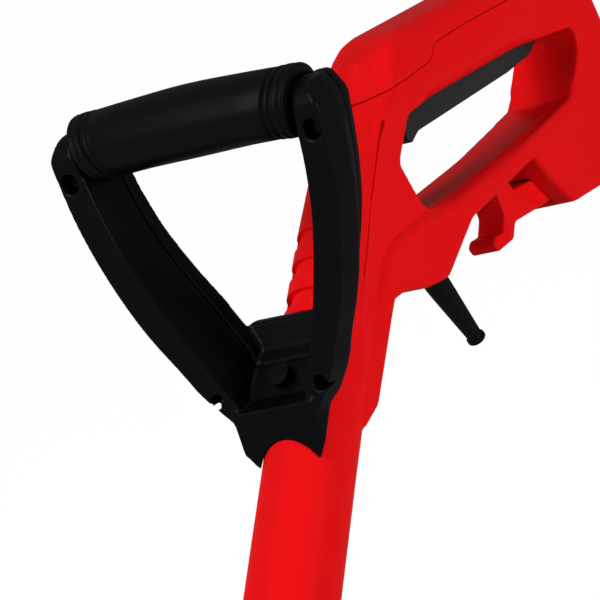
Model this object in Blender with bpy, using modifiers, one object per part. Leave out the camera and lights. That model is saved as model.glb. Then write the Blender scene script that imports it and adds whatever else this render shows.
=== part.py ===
# Corded electric string trimmer, held by its rear grip in the working pose: the shaft runs
# down and forward, +X is forward, +Y is the user's left, +Z is up. Everything is in metres.
# The outlines below are measured from the foot, the point on the shaft's axis that lies
# under the front handle. The world origin is the middle of the rear grip.

import math

import bmesh
import bpy
from mathutils import Matrix, Vector

# Layout
SHAFT_LEAN = 43.0
GRIP_TO_FOOT_X = 0.195
GRIP_TO_FOOT_Z = -0.1355
SHAFT_LENGTH = 0.620
TOUCH_GAP = 0.0003
SLIDE_GAP = 0.0005

# Main body shells
BODY_HALF_WIDTH = 0.0187
BODY_WALL = 0.0026
BODY_FRONT_ROUND = 0.0100
BODY_FRONT_LINE = 0.0075
NOSE_STATION = 0.179
NOSE_RADIUS = 0.0141
SHOULDER_RADIUS = 0.0188
TAPER_START = 0.062
SHAFT_RADIUS = 0.020
SHAFT_BORE = 0.0172
RACK_BORE = 0.0160
BODY_SHAFT_END = -0.205
SHAFT_END_RADIUS = 0.0222
SHOULDER = 0.1043
RACK_PITCH = 0.0148
RACK_GROOVE = 0.0072
RACK_FLOOR = 0.0181
RACK_GROOVES = 5
RACK_FRONT = 0.008
BACK_LINE = -0.0199
TOP_HEIGHT = 0.1518
REAR_END = -0.304
LOWER_END = 0.041
BOSS_RADIUS = 0.0038
SCREW_RADIUS = 0.0015
SCREW_HEAD_RADIUS = 0.0032
SCREW_HEAD_DEPTH = 0.0150

# Trigger and switch
TRIGGER_HALF_WIDTH = 0.0061
TRIGGER_PIN_RADIUS = 0.002
TRIGGER_PIVOT_X = -0.257
TRIGGER_PIVOT_Z = 0.119
TRIGGER_TOP = 0.1235
SWITCH_X = -0.200
SWITCH_BOTTOM = 0.1330
SWITCH_LENGTH = 0.028
SWITCH_HEIGHT = 0.014
SWITCH_WIDTH = 0.016
PLUNGER_RADIUS = 0.0025
SPRING_X = -0.170
SPRING_RADIUS = 0.0032
SPRING_WIRE = 0.0004
SPRING_TURNS = 4
SPRING_SEAT = 0.1345

# Cord guard and cord hook
GUARD_LENGTH = 0.0365
GUARD_FLANGE = 0.0138
GUARD_ROOT_RADIUS = 0.0058
GUARD_TIP_RADIUS = 0.0036
GUARD_BORE = 0.0024
HOOK_HALF_WIDTH = 0.0075

# Front handle
HANDLE_FRONT = 0.0122
HANDLE_CREST = -0.0010
HANDLE_BACK = -0.0140
FOOT_FRONT = 0.0134
SADDLE_FLOOR = 0.0250
HANDLE_SPLIT = -0.0080
HANDLE_TOP = 0.1625
HANDLE_GRIP_HEIGHT = 0.1555
HANDLE_GRIP_ARCH = 0.0017
HANDLE_GRIP_RADIUS = 0.0157
HANDLE_END_RADIUS = 0.0149
HANDLE_CORE_RADIUS = 0.0100
HANDLE_GRIP_HALF = 0.0560
HANDLE_GRIP_SLANT = 0.22
HANDLE_RECESS_RADIUS = 0.0044
HANDLE_SCREW_SEAT = 0.0042
HANDLE_STEPS = 2
CLAMP_STATION = 0.030
CLAMP_RADIUS = 0.003
CROSS_BOLT_RADIUS = 0.0022
CROSS_BOLT_OFFSET = 0.0060
MOTOR_LEAD_RADIUS = 0.0028

# Lower tube and motor head
TUBE_RADIUS = 0.014
TUBE_WALL = 0.0015
TUBE_TOP = -0.020
MOTOR_RADIUS = 0.044
MOTOR_TOP = 0.064
MOTOR_BOTTOM = -0.046
MOTOR_WALL = 0.0026
PLATE_TOP = -0.0435
GUARD_SCREW_RADIUS = 0.0017
NECK_RADIUS = 0.0195
NECK_LENGTH = 0.098
NECK_SOCKET = 0.056
STATOR_RADIUS = 0.036
STATOR_BORE = 0.0195
STATOR_HALF = 0.016
MOTOR_SHAFT_RADIUS = 0.004
BEARING_RADIUS = 0.011
BEARING_WIDTH = 0.007
COMMUTATOR_RADIUS = 0.0110
FAN_RADIUS = 0.0285
GUARD_RADIUS = 0.138
GUARD_THICKNESS = 0.0025
GUARD_SKIRT = 0.034
GUARD_HALF_ANGLE = 88.0
CUTTER_SCREW_RADIUS = 0.0015

# Spool head
HUB_TOP = -0.0585
HUB_RADIUS = 0.042
HUB_WALL = 0.0025
HUB_BOTTOM = -0.0905
SPOOL_RADIUS = 0.0365
SPOOL_TRAVEL = 0.006
KNOB_RADIUS = 0.0185
KNOB_BOTTOM = -0.1080
LINE_RADIUS = 0.0008
LINE_HEIGHT = -0.0790
EYELET_RADIUS = 0.0030
CUTTING_RADIUS = 0.128

lean = math.radians(SHAFT_LEAN)
collection = bpy.data.collections.new("string_trimmer")
shaft_frame = Matrix.Rotation(-lean, 4, "Y")


def on_shaft(across, along):
    """Point (x, z) that lies across the shaft's axis to the front, and along it upwards."""
    return (
        across * math.cos(lean) - along * math.sin(lean),
        across * math.sin(lean) + along * math.cos(lean),
    )


head_x, head_z = on_shaft(0, -SHAFT_LENGTH)
head_frame = Matrix.Translation((head_x, 0, head_z))


# Outlines
def unit(a, b):
    length = math.hypot(b[0] - a[0], b[1] - a[1])
    return ((b[0] - a[0]) / length, (b[1] - a[1]) / length)


def turn_of(corners, index):
    before, here, after = corners[index - 1], corners[index], corners[(index + 1) % len(corners)]
    first, second = unit(before, here), unit(here, after)
    crossed = first[0] * second[1] - first[1] * second[0]
    return math.atan2(crossed, first[0] * second[0] + first[1] * second[1])


def is_anticlockwise(corners):
    return sum(turn_of(corners, index) for index in range(len(corners))) > 0


def rounded(corners):
    """Outline of corners (u, v, radius), each corner with a radius drawn as an arc."""
    points = []
    for index, corner in enumerate(corners):
        radius = corner[2] if len(corner) > 2 else 0
        turn = turn_of(corners, index)
        if radius <= 0 or abs(turn) < 0.02:
            points.append((corner[0], corner[1]))
            continue
        first = unit(corners[index - 1], corner)
        second = unit(corner, corners[(index + 1) % len(corners)])
        reach = radius * math.tan(abs(turn) / 2)
        side = 1 if turn > 0 else -1
        start = (corner[0] - first[0] * reach, corner[1] - first[1] * reach)
        centre = (start[0] - first[1] * radius * side, start[1] + first[0] * radius * side)
        widest = math.radians(18 if radius > 0.012 else 34)
        steps = math.ceil(abs(turn) / widest)
        for step in range(steps + 1):
            angle = turn * step / steps
            dx, dz = start[0] - centre[0], start[1] - centre[1]
            points.append(
                (
                    centre[0] + dx * math.cos(angle) - dz * math.sin(angle),
                    centre[1] + dx * math.sin(angle) + dz * math.cos(angle),
                )
            )
    return points


def inset(corners, distance):
    """Corners moved inwards by a distance, with their radii following."""
    side = 1 if is_anticlockwise(corners) else -1
    moved = []
    for index, corner in enumerate(corners):
        first = unit(corners[index - 1], corner)
        second = unit(corner, corners[(index + 1) % len(corners)])
        turn = turn_of(corners, index)
        scale = distance / (1 + first[0] * second[0] + first[1] * second[1])
        radius = corner[2] if len(corner) > 2 else 0
        if radius > 0:
            radius = max(radius - side * math.copysign(distance, turn), 0.0002)
        moved.append(
            (
                corner[0] - side * (first[1] + second[1]) * scale,
                corner[1] + side * (first[0] + second[0]) * scale,
                radius,
            )
        )
    return moved


# Building blocks
def add_object(name, mesh):
    obj = bpy.data.objects.new(name, mesh)
    collection.objects.link(obj)
    return obj


def evaluated_mesh(obj):
    bpy.context.view_layer.update()
    graph = bpy.context.evaluated_depsgraph_get()
    return bpy.data.meshes.new_from_object(obj.evaluated_get(graph))


def tidy(mesh, flat_caps=False):
    work = bmesh.new()
    work.from_mesh(mesh)
    bmesh.ops.remove_doubles(work, verts=work.verts, dist=0.000005)
    if flat_caps:
        bmesh.ops.dissolve_limit(work, angle_limit=0.01, verts=work.verts, edges=work.edges)
    bmesh.ops.recalc_face_normals(work, faces=work.faces)
    work.to_mesh(mesh)
    work.free()


def plate(loops, half_thickness, plane="XZ", middle=0.0, flat_caps=False):
    """Flat outline with its holes, thick on both sides of its plane."""
    curve = bpy.data.curves.new("plate", "CURVE")
    curve.dimensions = "2D"
    curve.fill_mode = "BOTH"
    curve.extrude = half_thickness
    for loop in loops:
        spline = curve.splines.new("POLY")
        spline.points.add(len(loop) - 1)
        for point, (u, v) in zip(spline.points, loop):
            point.co = (u, v, 0, 1)
        spline.use_cyclic_u = True
    source = add_object("plate", curve)
    mesh = evaluated_mesh(source)
    bpy.data.objects.remove(source)
    if plane == "XZ":
        mesh.transform(Matrix.Translation((0, middle, 0)) @ Matrix.Rotation(math.pi / 2, 4, "X"))
    elif plane == "YZ":
        turn = Matrix(((0, 0, 1, middle), (1, 0, 0, 0), (0, 1, 0, 0), (0, 0, 0, 1)))
        mesh.transform(turn)
    else:
        mesh.transform(Matrix.Translation((0, 0, middle)))
    tidy(mesh, flat_caps)
    return add_object("plate", mesh)


def turned(profile, steps=32, frame=None):
    """Profile (radius, height) turned about the frame's Z axis, run down its outer side."""
    mesh = bpy.data.meshes.new("profile")
    edges = [(index, index + 1) for index in range(len(profile) - 1)]
    if profile[0][0] > 0 and profile[-1][0] > 0:
        edges.append((len(profile) - 1, 0))
    mesh.from_pydata([(radius, 0, height) for radius, height in profile], edges, [])
    source = add_object("profile", mesh)
    screw = source.modifiers.new("Screw", "SCREW")
    screw.steps = steps
    screw.render_steps = steps
    screw.use_merge_vertices = True
    screw.merge_threshold = 0.00001
    result = evaluated_mesh(source)
    bpy.data.objects.remove(source)
    if frame is not None:
        result.transform(frame)
    tidy(result)
    return add_object("turned", result)


def ring(inner, outer, low, high, steps=32, frame=None):
    return turned([(outer, high), (outer, low), (inner, low), (inner, high)], steps, frame)


def rod(start, end, radius, sides=20, end_radius=None):
    start, end = Vector(start), Vector(end)
    length = (end - start).length
    bpy.ops.mesh.primitive_cone_add(
        vertices=sides,
        radius1=radius,
        radius2=radius if end_radius is None else end_radius,
        depth=length,
    )
    obj = take_active()
    turn = (end - start).to_track_quat("Z", "Y").to_matrix().to_4x4()
    obj.data.transform(Matrix.Translation((start + end) / 2) @ turn)
    return obj


def box(low, high, frame=None):
    bpy.ops.mesh.primitive_cube_add(size=1)
    obj = take_active()
    middle = [(a + b) / 2 for a, b in zip(low, high)]
    size = [b - a for a, b in zip(low, high)]
    obj.data.transform(Matrix.Translation(middle) @ Matrix.Diagonal((*size, 1)))
    if frame is not None:
        obj.data.transform(frame)
    return obj


def take_active():
    obj = bpy.context.active_object
    for holder in list(obj.users_collection):
        holder.objects.unlink(obj)
    collection.objects.link(obj)
    return obj


def coil(radius, wire, turns, low, high, x, z_axis_y=0.0, points_per_turn=7):
    """Round compression spring along Z."""
    curve = bpy.data.curves.new("coil", "CURVE")
    curve.dimensions = "3D"
    curve.bevel_depth = wire
    curve.bevel_resolution = 1
    curve.use_fill_caps = True
    spline = curve.splines.new("POLY")
    count = turns * points_per_turn
    spline.points.add(count)
    for step in range(count + 1):
        angle = 2 * math.pi * step / points_per_turn
        height = low + wire + (high - low - 2 * wire) * step / count
        spline.points[step].co = (
            x + radius * math.cos(angle),
            z_axis_y + radius * math.sin(angle),
            height,
            1,
        )
    source = add_object("coil", curve)
    mesh = evaluated_mesh(source)
    bpy.data.objects.remove(source)
    tidy(mesh)
    return add_object("coil", mesh)


def lead(route, radius):
    """Wire or cable along a route of points."""
    curve = bpy.data.curves.new("lead", "CURVE")
    curve.dimensions = "3D"
    curve.bevel_depth = radius
    curve.bevel_resolution = 2
    curve.use_fill_caps = True
    spline = curve.splines.new("POLY")
    spline.points.add(len(route) - 1)
    for point, place in zip(spline.points, route):
        point.co = (*place, 1)
    source = add_object("lead", curve)
    mesh = evaluated_mesh(source)
    bpy.data.objects.remove(source)
    tidy(mesh)
    return add_object("lead", mesh)


def smooth_route(points, steps=4):
    """Points along a smooth curve through the route's own points."""
    ends = [points[0]] + list(points) + [points[-1]]
    places = [Vector(point) for point in ends]
    route = []
    for index in range(1, len(places) - 2):
        a, b, c, d = places[index - 1 : index + 3]
        for step in range(steps):
            t = step / steps
            square = 2 * a - 5 * b + 4 * c - d
            cube = 3 * b - a - 3 * c + d
            route.append(0.5 * (2 * b + (c - a) * t + square * t**2 + cube * t**3))
    route.append(places[-1])
    return route


def boolean(target, other, operation, keep=False):
    modifier = target.modifiers.new("Boolean", "BOOLEAN")
    modifier.operation = operation
    modifier.solver = "EXACT"
    modifier.object = other
    mesh = evaluated_mesh(target)
    target.modifiers.clear()
    work = bmesh.new()
    work.from_mesh(mesh)
    bmesh.ops.remove_doubles(work, verts=work.verts, dist=0.000002)
    bmesh.ops.dissolve_degenerate(work, edges=work.edges, dist=0.000002)
    work.to_mesh(mesh)
    work.free()
    target.data = mesh
    if not keep:
        bpy.data.objects.remove(other)
    return target


def cut(target, *others):
    for other in others:
        boolean(target, other, "DIFFERENCE")
    return target


def join(target, *others):
    for other in others:
        boolean(target, other, "UNION")
    return target


def keep_inside(target, other):
    return boolean(target, other, "INTERSECT")


def copy_of(obj):
    return add_object(obj.name, obj.data.copy())


def round_edges(obj, chosen, width, segments):
    """Bevel the edges that a test on their two ends chooses."""
    work = bmesh.new()
    work.from_mesh(obj.data)
    edges = [edge for edge in work.edges if chosen(edge)]
    bmesh.ops.bevel(
        work,
        geom=edges,
        offset=width,
        segments=segments,
        profile=0.5,
        affect="EDGES",
        clamp_overlap=False,
    )
    bmesh.ops.remove_doubles(work, verts=work.verts, dist=0.000005)
    work.to_mesh(obj.data)
    work.free()
    return obj


def half_space(low_y, high_y):
    return box((-1, low_y, -1), (1, high_y, 1))


def make_material(name, colour, roughness, metallic=0.0):
    material = bpy.data.materials.new(name)
    material.use_nodes = True
    shader = material.node_tree.nodes["Principled BSDF"]
    shader.inputs["Base Color"].default_value = (*colour, 1)
    shader.inputs["Roughness"].default_value = roughness
    shader.inputs["Metallic"].default_value = metallic
    return material


def finish(obj, name, material, pivot=(0, 0, 0)):
    """Name the sub-part, give it its material and hang it from the foot, with its origin on its pivot."""
    obj.name = name
    obj.data.name = name
    obj.data.transform(Matrix.Translation(-Vector(pivot)))
    obj.location = pivot
    obj.parent = foot
    obj.data.materials.clear()
    obj.data.materials.append(materials[material])
    obj.data.shade_smooth()
    obj.data.set_sharp_from_angle(angle=math.radians(35))
    return obj


# Body outlines
def body_corners():
    back_top = on_shaft(BACK_LINE - 0.001, 0.084)
    back_low = on_shaft(BACK_LINE + 0.001, 0.033)
    nose_x = (BODY_FRONT_LINE - TOP_HEIGHT * math.sin(lean)) / math.cos(lean)
    return [
        (*on_shaft(-0.012, 0.019), 0),
        (*on_shaft(0.0, 0.030), 0),
        (*on_shaft(BODY_FRONT_LINE, 0.045), 0),
        (nose_x, TOP_HEIGHT, 0.034),
        (REAR_END, TOP_HEIGHT, 0.030),
        (REAR_END, LOWER_END, 0.026),
        (-0.231, LOWER_END, 0.006),
        (-0.219, 0.0560, 0.003),
        (-0.2115, 0.0688, 0.003),
        (-0.1490, 0.0600, 0.006),
        (-0.1170, 0.0425, 0.006),
        (-0.1000, 0.0436, 0.008),
        (-0.0830, 0.0478, 0.004),
        (*back_top, 0.003),
        (*back_low, 0.006),
    ]


def opening_corners():
    return [
        (-0.1300, 0.1162, 0.003),
        (-0.1112, 0.0980, 0.004),
        (-0.1200, 0.0700, 0.006),
        (-0.1450, 0.0698, 0),
        (-0.1920, 0.0736, 0),
        (-0.2550, 0.0832, 0.007),
        (-0.2740, 0.1030, 0.008),
        (-0.2760, 0.1135, 0.004),
        (-0.2300, 0.1166, 0),
    ]


def seam_line():
    return [
        (-0.080, 0.1290),
        (-0.1100, 0.1290),
        (-0.1531, 0.1321),
        (-0.1566, 0.1337),
        (-0.1627, 0.1385),
        (-0.1905, 0.1396),
        (-0.320, 0.1385),
    ]


def above_seam(gap):
    line = [(x + gap * 0.8, z + gap) for x, z in seam_line()]
    return plate([line + [(-0.320, 0.3), (-0.080, 0.3)]], 0.05)


def is_front_or_top(x, z):
    across = x * math.cos(lean) + z * math.sin(lean)
    along = -x * math.sin(lean) + z * math.cos(lean)
    on_front = across > BODY_FRONT_LINE - BODY_WALL - 0.001 and along > 0.044
    on_rear = x < -0.272 and z > 0.118
    return on_front or z > TOP_HEIGHT - 0.0215 and x < -0.100 and z > 0.140 or on_rear


def body_prism(corners, half_width, front_round, rim_round):
    """Flat-sided body with its front and top rims well rounded and the others eased."""
    obj = plate([rounded(corners)], half_width, flat_caps=True)

    def rim(edge):
        a, b = edge.verts
        return abs(abs(a.co.y) - half_width) < 1e-5 and abs(a.co.y - b.co.y) < 1e-5

    def front_rim(edge):
        a, b = edge.verts
        return rim(edge) and is_front_or_top(a.co.x, a.co.z) and is_front_or_top(b.co.x, b.co.z)

    round_edges(obj, front_rim, front_round, 4)
    if rim_round:

        def other_rim(edge):
            faces = [face.normal for face in edge.link_faces]
            return rim(edge) and len(faces) == 2 and abs(faces[0].dot(faces[1])) < 0.3

        round_edges(obj, other_rim, rim_round, 2)
    return obj


def body_solid():
    """Both shells and the top cover as one hollow body, before it is parted."""
    obj = body_prism(body_corners(), BODY_HALF_WIDTH, BODY_FRONT_ROUND, 0.002)
    rim = 0.014
    shaft = turned(
        [
            (0, NOSE_STATION + 0.0180),
            (NOSE_RADIUS * 0.32, NOSE_STATION + 0.0170),
            (NOSE_RADIUS * 0.66, NOSE_STATION + 0.0135),
            (NOSE_RADIUS * 0.90, NOSE_STATION + 0.0075),
            (NOSE_RADIUS, NOSE_STATION),
            (SHOULDER_RADIUS, SHOULDER),
            (SHAFT_RADIUS, TAPER_START),
            (SHAFT_RADIUS, 0),
            (SHAFT_END_RADIUS - 0.0008, BODY_SHAFT_END + rim + 0.002),
            (SHAFT_END_RADIUS, BODY_SHAFT_END + rim),
            (SHAFT_END_RADIUS, BODY_SHAFT_END),
            (0, BODY_SHAFT_END),
        ],
        32,
        shaft_frame,
    )
    join(obj, shaft)
    groove_frame = shaft_frame @ Matrix.Rotation(math.radians(4), 4, "Z")
    for index in range(RACK_GROOVES):
        high = SHOULDER - index * RACK_PITCH
        groove = ring(RACK_FLOOR, SHAFT_RADIUS + 0.004, high - RACK_GROOVE, high, 30, groove_frame)
        keep_inside(groove, box((RACK_FRONT, -0.04, -0.3), (0.04, 0.04, 0.3), shaft_frame))
        cut(obj, groove)
    cut(obj, plate([rounded(opening_corners())], 0.03))
    inner = body_prism(
        inset(body_corners(), BODY_WALL),
        BODY_HALF_WIDTH - BODY_WALL,
        BODY_FRONT_ROUND - BODY_WALL,
        0,
    )
    cut(inner, plate([rounded(inset(opening_corners(), -BODY_WALL))], 0.03))
    join(inner, shaft_bore())
    cut(obj, inner)
    return obj


def shaft_bore():
    """Room inside the body's shaft: wide at the tube's two ribs, narrow behind the rack."""
    rib = TUBE_RADIUS + TOUCH_GAP
    profile = [
        (0, NOSE_STATION + 0.0120),
        (NOSE_RADIUS - BODY_WALL - 0.003, NOSE_STATION + 0.0080),
        (NOSE_RADIUS - BODY_WALL, NOSE_STATION),
        (RACK_BORE, SHOULDER),
        (RACK_BORE, 0.006),
        (SHAFT_BORE, 0.004),
    ]
    for high in (TUBE_TOP - 0.014, BODY_SHAFT_END + 0.006):
        profile += [(SHAFT_BORE, high), (rib, high), (rib, high - 0.004), (SHAFT_BORE, high - 0.004)]
    profile += [(SHAFT_BORE, BODY_SHAFT_END - 0.01), (0, BODY_SHAFT_END - 0.01)]
    return turned(profile, 32, shaft_frame)


def boss_places():
    """Where the shells are screwed together, across the body."""
    return {
        "nose": (-0.1180, 0.1210),
        "belly": (-0.0960, 0.0560),
        "rear_upper": (-0.2900, 0.1150),
        "rear_lower": (-0.2860, 0.0620),
        "shaft": on_shaft(-0.0120, 0.058),
    }


def guard_frame():
    """Cord guard's axis: Z runs out of the belly, down and back."""
    start = Vector((-0.1315, 0, 0.0383))
    along = Vector((-0.4535, 0, -0.8912)).normalized()
    turn = along.to_track_quat("Z", "Y").to_matrix().to_4x4()
    return Matrix.Translation(start) @ turn


def tube_bolt_place():
    return on_shaft(-CROSS_BOLT_OFFSET, BODY_SHAFT_END + 0.040)


def add_inner_features(obj):
    """Bosses, ribs and seats that stand inside the shells, and the holes through their walls."""
    inside = BODY_HALF_WIDTH - 0.0008
    for x, z in boss_places().values():
        join(obj, rod((x, -inside, z), (x, inside, z), BOSS_RADIUS, 12))
    pivot = (TRIGGER_PIVOT_X, TRIGGER_PIVOT_Z)
    for side in (-1, 1):
        stub = (TRIGGER_HALF_WIDTH + SLIDE_GAP) * side
        join(obj, rod((pivot[0], stub, pivot[1]), (pivot[0], inside * side, pivot[1]), 0.0042, 12))
    near, far = (pivot[0], -0.0172, pivot[1]), (pivot[0], 0.0172, pivot[1])
    cut(obj, rod(near, far, TRIGGER_PIN_RADIUS + TOUCH_GAP, 12))
    low, high = SPRING_X - 0.005, SPRING_X + 0.005
    join(obj, box((low, -inside, SPRING_SEAT), (high, inside, SPRING_SEAT + 0.002)))
    half_switch = SWITCH_LENGTH / 2
    for offset in (-half_switch + 0.004, half_switch - 0.004):
        for side in (-1, 1):
            near, far = (SWITCH_WIDTH / 2 + TOUCH_GAP) * side, inside * side
            x = SWITCH_X + offset
            join(
                obj,
                box(
                    (x - 0.001, min(near, far), SWITCH_BOTTOM - 0.002),
                    (x + 0.001, max(near, far), SWITCH_BOTTOM + 0.0045),
                ),
            )
    for low, high in part_seats():
        join(obj, box((low[0], -inside, low[1]), (high[0], inside, high[1])))
    slot_low = TRIGGER_HALF_WIDTH + 0.0009
    cut(obj, box((-0.2640, -slot_low, 0.108), (-0.1335, slot_low, 0.1212)))
    gap = TOUCH_GAP
    rail_half = HOOK_HALF_WIDTH + gap
    cut(obj, box((-0.2540 - gap, -rail_half, 0.0440 - gap), (-0.2150, rail_half, 0.0582 + gap)))
    hole = GUARD_ROOT_RADIUS + TOUCH_GAP
    cut(obj, turned([(0, 0.020), (hole, 0.020), (hole, -0.020), (0, -0.020)], 20, guard_frame()))
    slot_low = CLAMP_STATION - CLAMP_RADIUS - 0.001
    slot_high = CLAMP_STATION + HANDLE_STEPS * RACK_PITCH + CLAMP_RADIUS + 0.001
    slot_half = CLAMP_RADIUS + SLIDE_GAP
    cut(obj, box((0.005, -slot_half, slot_low), (0.03, slot_half, slot_high), shaft_frame))
    return cross_hole(obj, *tube_bolt_place())


def part_seats():
    """Shelves under the terminal block and the capacitor."""
    return [
        ((-0.1010, 0.0635), (-0.0790, 0.0655)),
        ((-0.1080, 0.0890), (-0.0910, 0.0910)),
    ]


def make_body():
    whole = body_solid()
    cover = copy_of(whole)
    keep_inside(cover, above_seam(TOUCH_GAP))
    finish(cover, "top_cover", "red plastic")
    cut(whole, above_seam(0.0))
    add_inner_features(whole)
    right = copy_of(whole)
    keep_inside(whole, half_space(TOUCH_GAP / 2, 0.1))
    keep_inside(right, half_space(-0.1, -TOUCH_GAP / 2))
    pilot = SCREW_RADIUS + TOUCH_GAP
    for x, z in boss_places().values():
        cut(whole, rod((x, -0.001, z), (x, 0.0122, z), pilot, 10))
        cut(right, rod((x, 0.001, z), (x, -0.03, z), pilot, 10))
        cut(right, rod((x, -SCREW_HEAD_DEPTH, z), (x, -0.03, z), SCREW_HEAD_RADIUS + TOUCH_GAP, 14))
    finish(whole, "body_shell_left", "red plastic")
    finish(right, "body_shell_right", "red plastic")


def make_body_screws():
    """Screws driven from the right, with their heads in the right shell's recesses."""
    head = -SCREW_HEAD_DEPTH - TOUCH_GAP
    for name, (x, z) in boss_places().items():
        screw = rod((x, 0.0118, z), (x, head - 0.0010, z), SCREW_RADIUS, 10)
        join(screw, rod((x, head, z), (x, head - 0.0022, z), SCREW_HEAD_RADIUS, 14))
        finish(screw, "body_screw_" + name, "steel")


def cross_bolt(x, z, seat):
    """Bolt through a tube along Y, its round head on the left and its nut on the right."""
    bolt = rod((x, -seat - 0.001, z), (x, seat + 0.001, z), CROSS_BOLT_RADIUS, 14)
    join(bolt, rod((x, seat, z), (x, seat + 0.0028, z), 0.0042, 16))
    join(bolt, rod((x, -seat, z), (x, -seat - 0.0034, z), 0.0042, 6))
    return bolt


def cross_hole(target, x, z):
    return cut(target, rod((x, -0.05, z), (x, 0.05, z), CROSS_BOLT_RADIUS + TOUCH_GAP, 14))


def make_tube_bolt():
    x, z = tube_bolt_place()
    finish(cross_bolt(x, z, SHAFT_END_RADIUS + TOUCH_GAP), "tube_bolt", "steel")


# Trigger, switch and wiring
def make_trigger():
    pivot = (TRIGGER_PIVOT_X, TRIGGER_PIVOT_Z)
    corners = [
        (-0.1365, TRIGGER_TOP - 0.0015, 0.002),
        (-0.1365, 0.1030, 0.001),
        (-0.1394, 0.1008, 0.001),
        (-0.1468, 0.1042, 0.003),
        (-0.2300, 0.1068, 0),
        (-0.2520, 0.1090, 0),
        (-0.2625, 0.1140, 0.003),
        (-0.2625, TRIGGER_TOP, 0.003),
    ]
    trigger = plate([rounded(corners)], TRIGGER_HALF_WIDTH, flat_caps=True)

    def lower_rim(edge):
        a, b = edge.verts
        return abs(a.co.y - b.co.y) < 1e-6 and max(a.co.z, b.co.z) < 0.1165

    round_edges(trigger, lower_rim, 0.0018, 2)
    hole = rod((pivot[0], -0.02, pivot[1]), (pivot[0], 0.02, pivot[1]), TRIGGER_PIN_RADIUS + TOUCH_GAP, 14)
    cut(trigger, hole)
    finish(trigger, "trigger", "dark plastic", (pivot[0], 0, pivot[1]))
    pin = rod((pivot[0], -0.0168, pivot[1]), (pivot[0], 0.0168, pivot[1]), TRIGGER_PIN_RADIUS, 14)
    finish(pin, "trigger_pin", "steel", (pivot[0], 0, pivot[1]))
    spring = coil(
        SPRING_RADIUS,
        SPRING_WIRE,
        SPRING_TURNS,
        TRIGGER_TOP + TOUCH_GAP,
        SPRING_SEAT - TOUCH_GAP,
        SPRING_X,
    )
    finish(spring, "trigger_spring", "steel")


def make_switch():
    half = SWITCH_LENGTH / 2
    top = SWITCH_BOTTOM + SWITCH_HEIGHT
    body = box(
        (SWITCH_X - half, -SWITCH_WIDTH / 2, SWITCH_BOTTOM),
        (SWITCH_X + half, SWITCH_WIDTH / 2, top),
    )
    plunger_top = SWITCH_BOTTOM + 0.004
    low, high = (SWITCH_X, 0, SWITCH_BOTTOM - 0.01), (SWITCH_X, 0, plunger_top + 0.0055)
    cut(body, rod(low, high, PLUNGER_RADIUS + TOUCH_GAP, 16))
    for x in (SWITCH_X - 0.008, SWITCH_X + 0.008):
        join(body, box((x - 0.0004, -0.003, top - 0.0005), (x + 0.0004, 0.003, top + 0.0018)))
    finish(body, "switch_body", "grey plastic")
    tip = TRIGGER_TOP + TOUCH_GAP
    plunger = turned(
        [
            (0, plunger_top),
            (PLUNGER_RADIUS, plunger_top),
            (PLUNGER_RADIUS, tip + 0.0015),
            (0.001, tip),
            (0, tip),
        ],
        16,
        Matrix.Translation((SWITCH_X, 0, 0)),
    )
    finish(plunger, "switch_plunger", "dark plastic")


def make_electrics():
    (low, high), (low_b, high_b) = part_seats()
    terminal = box(
        (low[0] + 0.002, -0.009, high[1] + TOUCH_GAP),
        (high[0] - 0.002, 0.009, high[1] + 0.014),
    )
    for y in (-0.0045, 0.0045):
        x = (low[0] + high[0]) / 2
        cut(terminal, rod((x, y, high[1] + 0.010), (x, y, high[1] + 0.02), 0.0022, 12))
    finish(terminal, "terminal_block", "grey plastic")
    capacitor = box(
        (low_b[0] + 0.001, -0.0070, high_b[1] + TOUCH_GAP),
        (high_b[0] - 0.001, 0.0070, high_b[1] + 0.015),
    )
    finish(capacitor, "capacitor", "yellow film")


def motor_lead_route():
    """The lead lies on the tube's two cross bolts."""
    line = CROSS_BOLT_RADIUS + TOUCH_GAP + MOTOR_LEAD_RADIUS - CROSS_BOLT_OFFSET
    places = [(-0.003, 0.090), (-0.003, 0.060), (-0.002, 0.030)]
    places += [(line, along) for along in (0.0, -0.030, -0.2, -0.4, -SHAFT_LENGTH + 0.075)]
    points = []
    for across, along in places:
        x, z = on_shaft(across, along)
        points.append((x, 0, z))
    return points


def make_motor_lead():
    finish(lead(smooth_route(motor_lead_route(), 3), MOTOR_LEAD_RADIUS), "motor_lead", "black rubber")


# Cord guard and hook
def make_cord_guard():
    length = GUARD_LENGTH
    steps = 20
    guard = turned(
        [
            (GUARD_BORE, -GUARD_FLANGE - 0.0025),
            (GUARD_ROOT_RADIUS + 0.0022, -GUARD_FLANGE - 0.0025),
            (GUARD_ROOT_RADIUS + 0.0022, -GUARD_FLANGE),
            (GUARD_ROOT_RADIUS, -GUARD_FLANGE),
            (GUARD_ROOT_RADIUS, 0.0030),
            (GUARD_TIP_RADIUS, length - 0.0030),
            (GUARD_TIP_RADIUS + 0.0008, length - 0.0022),
            (GUARD_TIP_RADIUS + 0.0008, length),
            (GUARD_BORE, length),
        ],
        steps,
        guard_frame(),
    )
    finish(guard, "cord_guard", "black rubber")


def make_cord_hook():
    corners = [
        (-0.2520, 0.0562, 0),
        (-0.2026, 0.0585, 0),
        (-0.2000, 0.0640, 0),
        (-0.1885, 0.0622, 0),
        (-0.1892, 0.0505, 0.001),
        (-0.1840, 0.0440, 0.001),
        (-0.1770, 0.0440, 0.0015),
        (-0.1735, 0.0415, 0.0015),
        (-0.1760, 0.0372, 0.0015),
        (-0.1905, 0.0385, 0.003),
        (-0.1960, 0.0450, 0.003),
        (-0.2520, 0.0445, 0),
    ]
    hook = plate([rounded(corners)], HOOK_HALF_WIDTH)
    finish(hook, "cord_hook", "red plastic")


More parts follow.
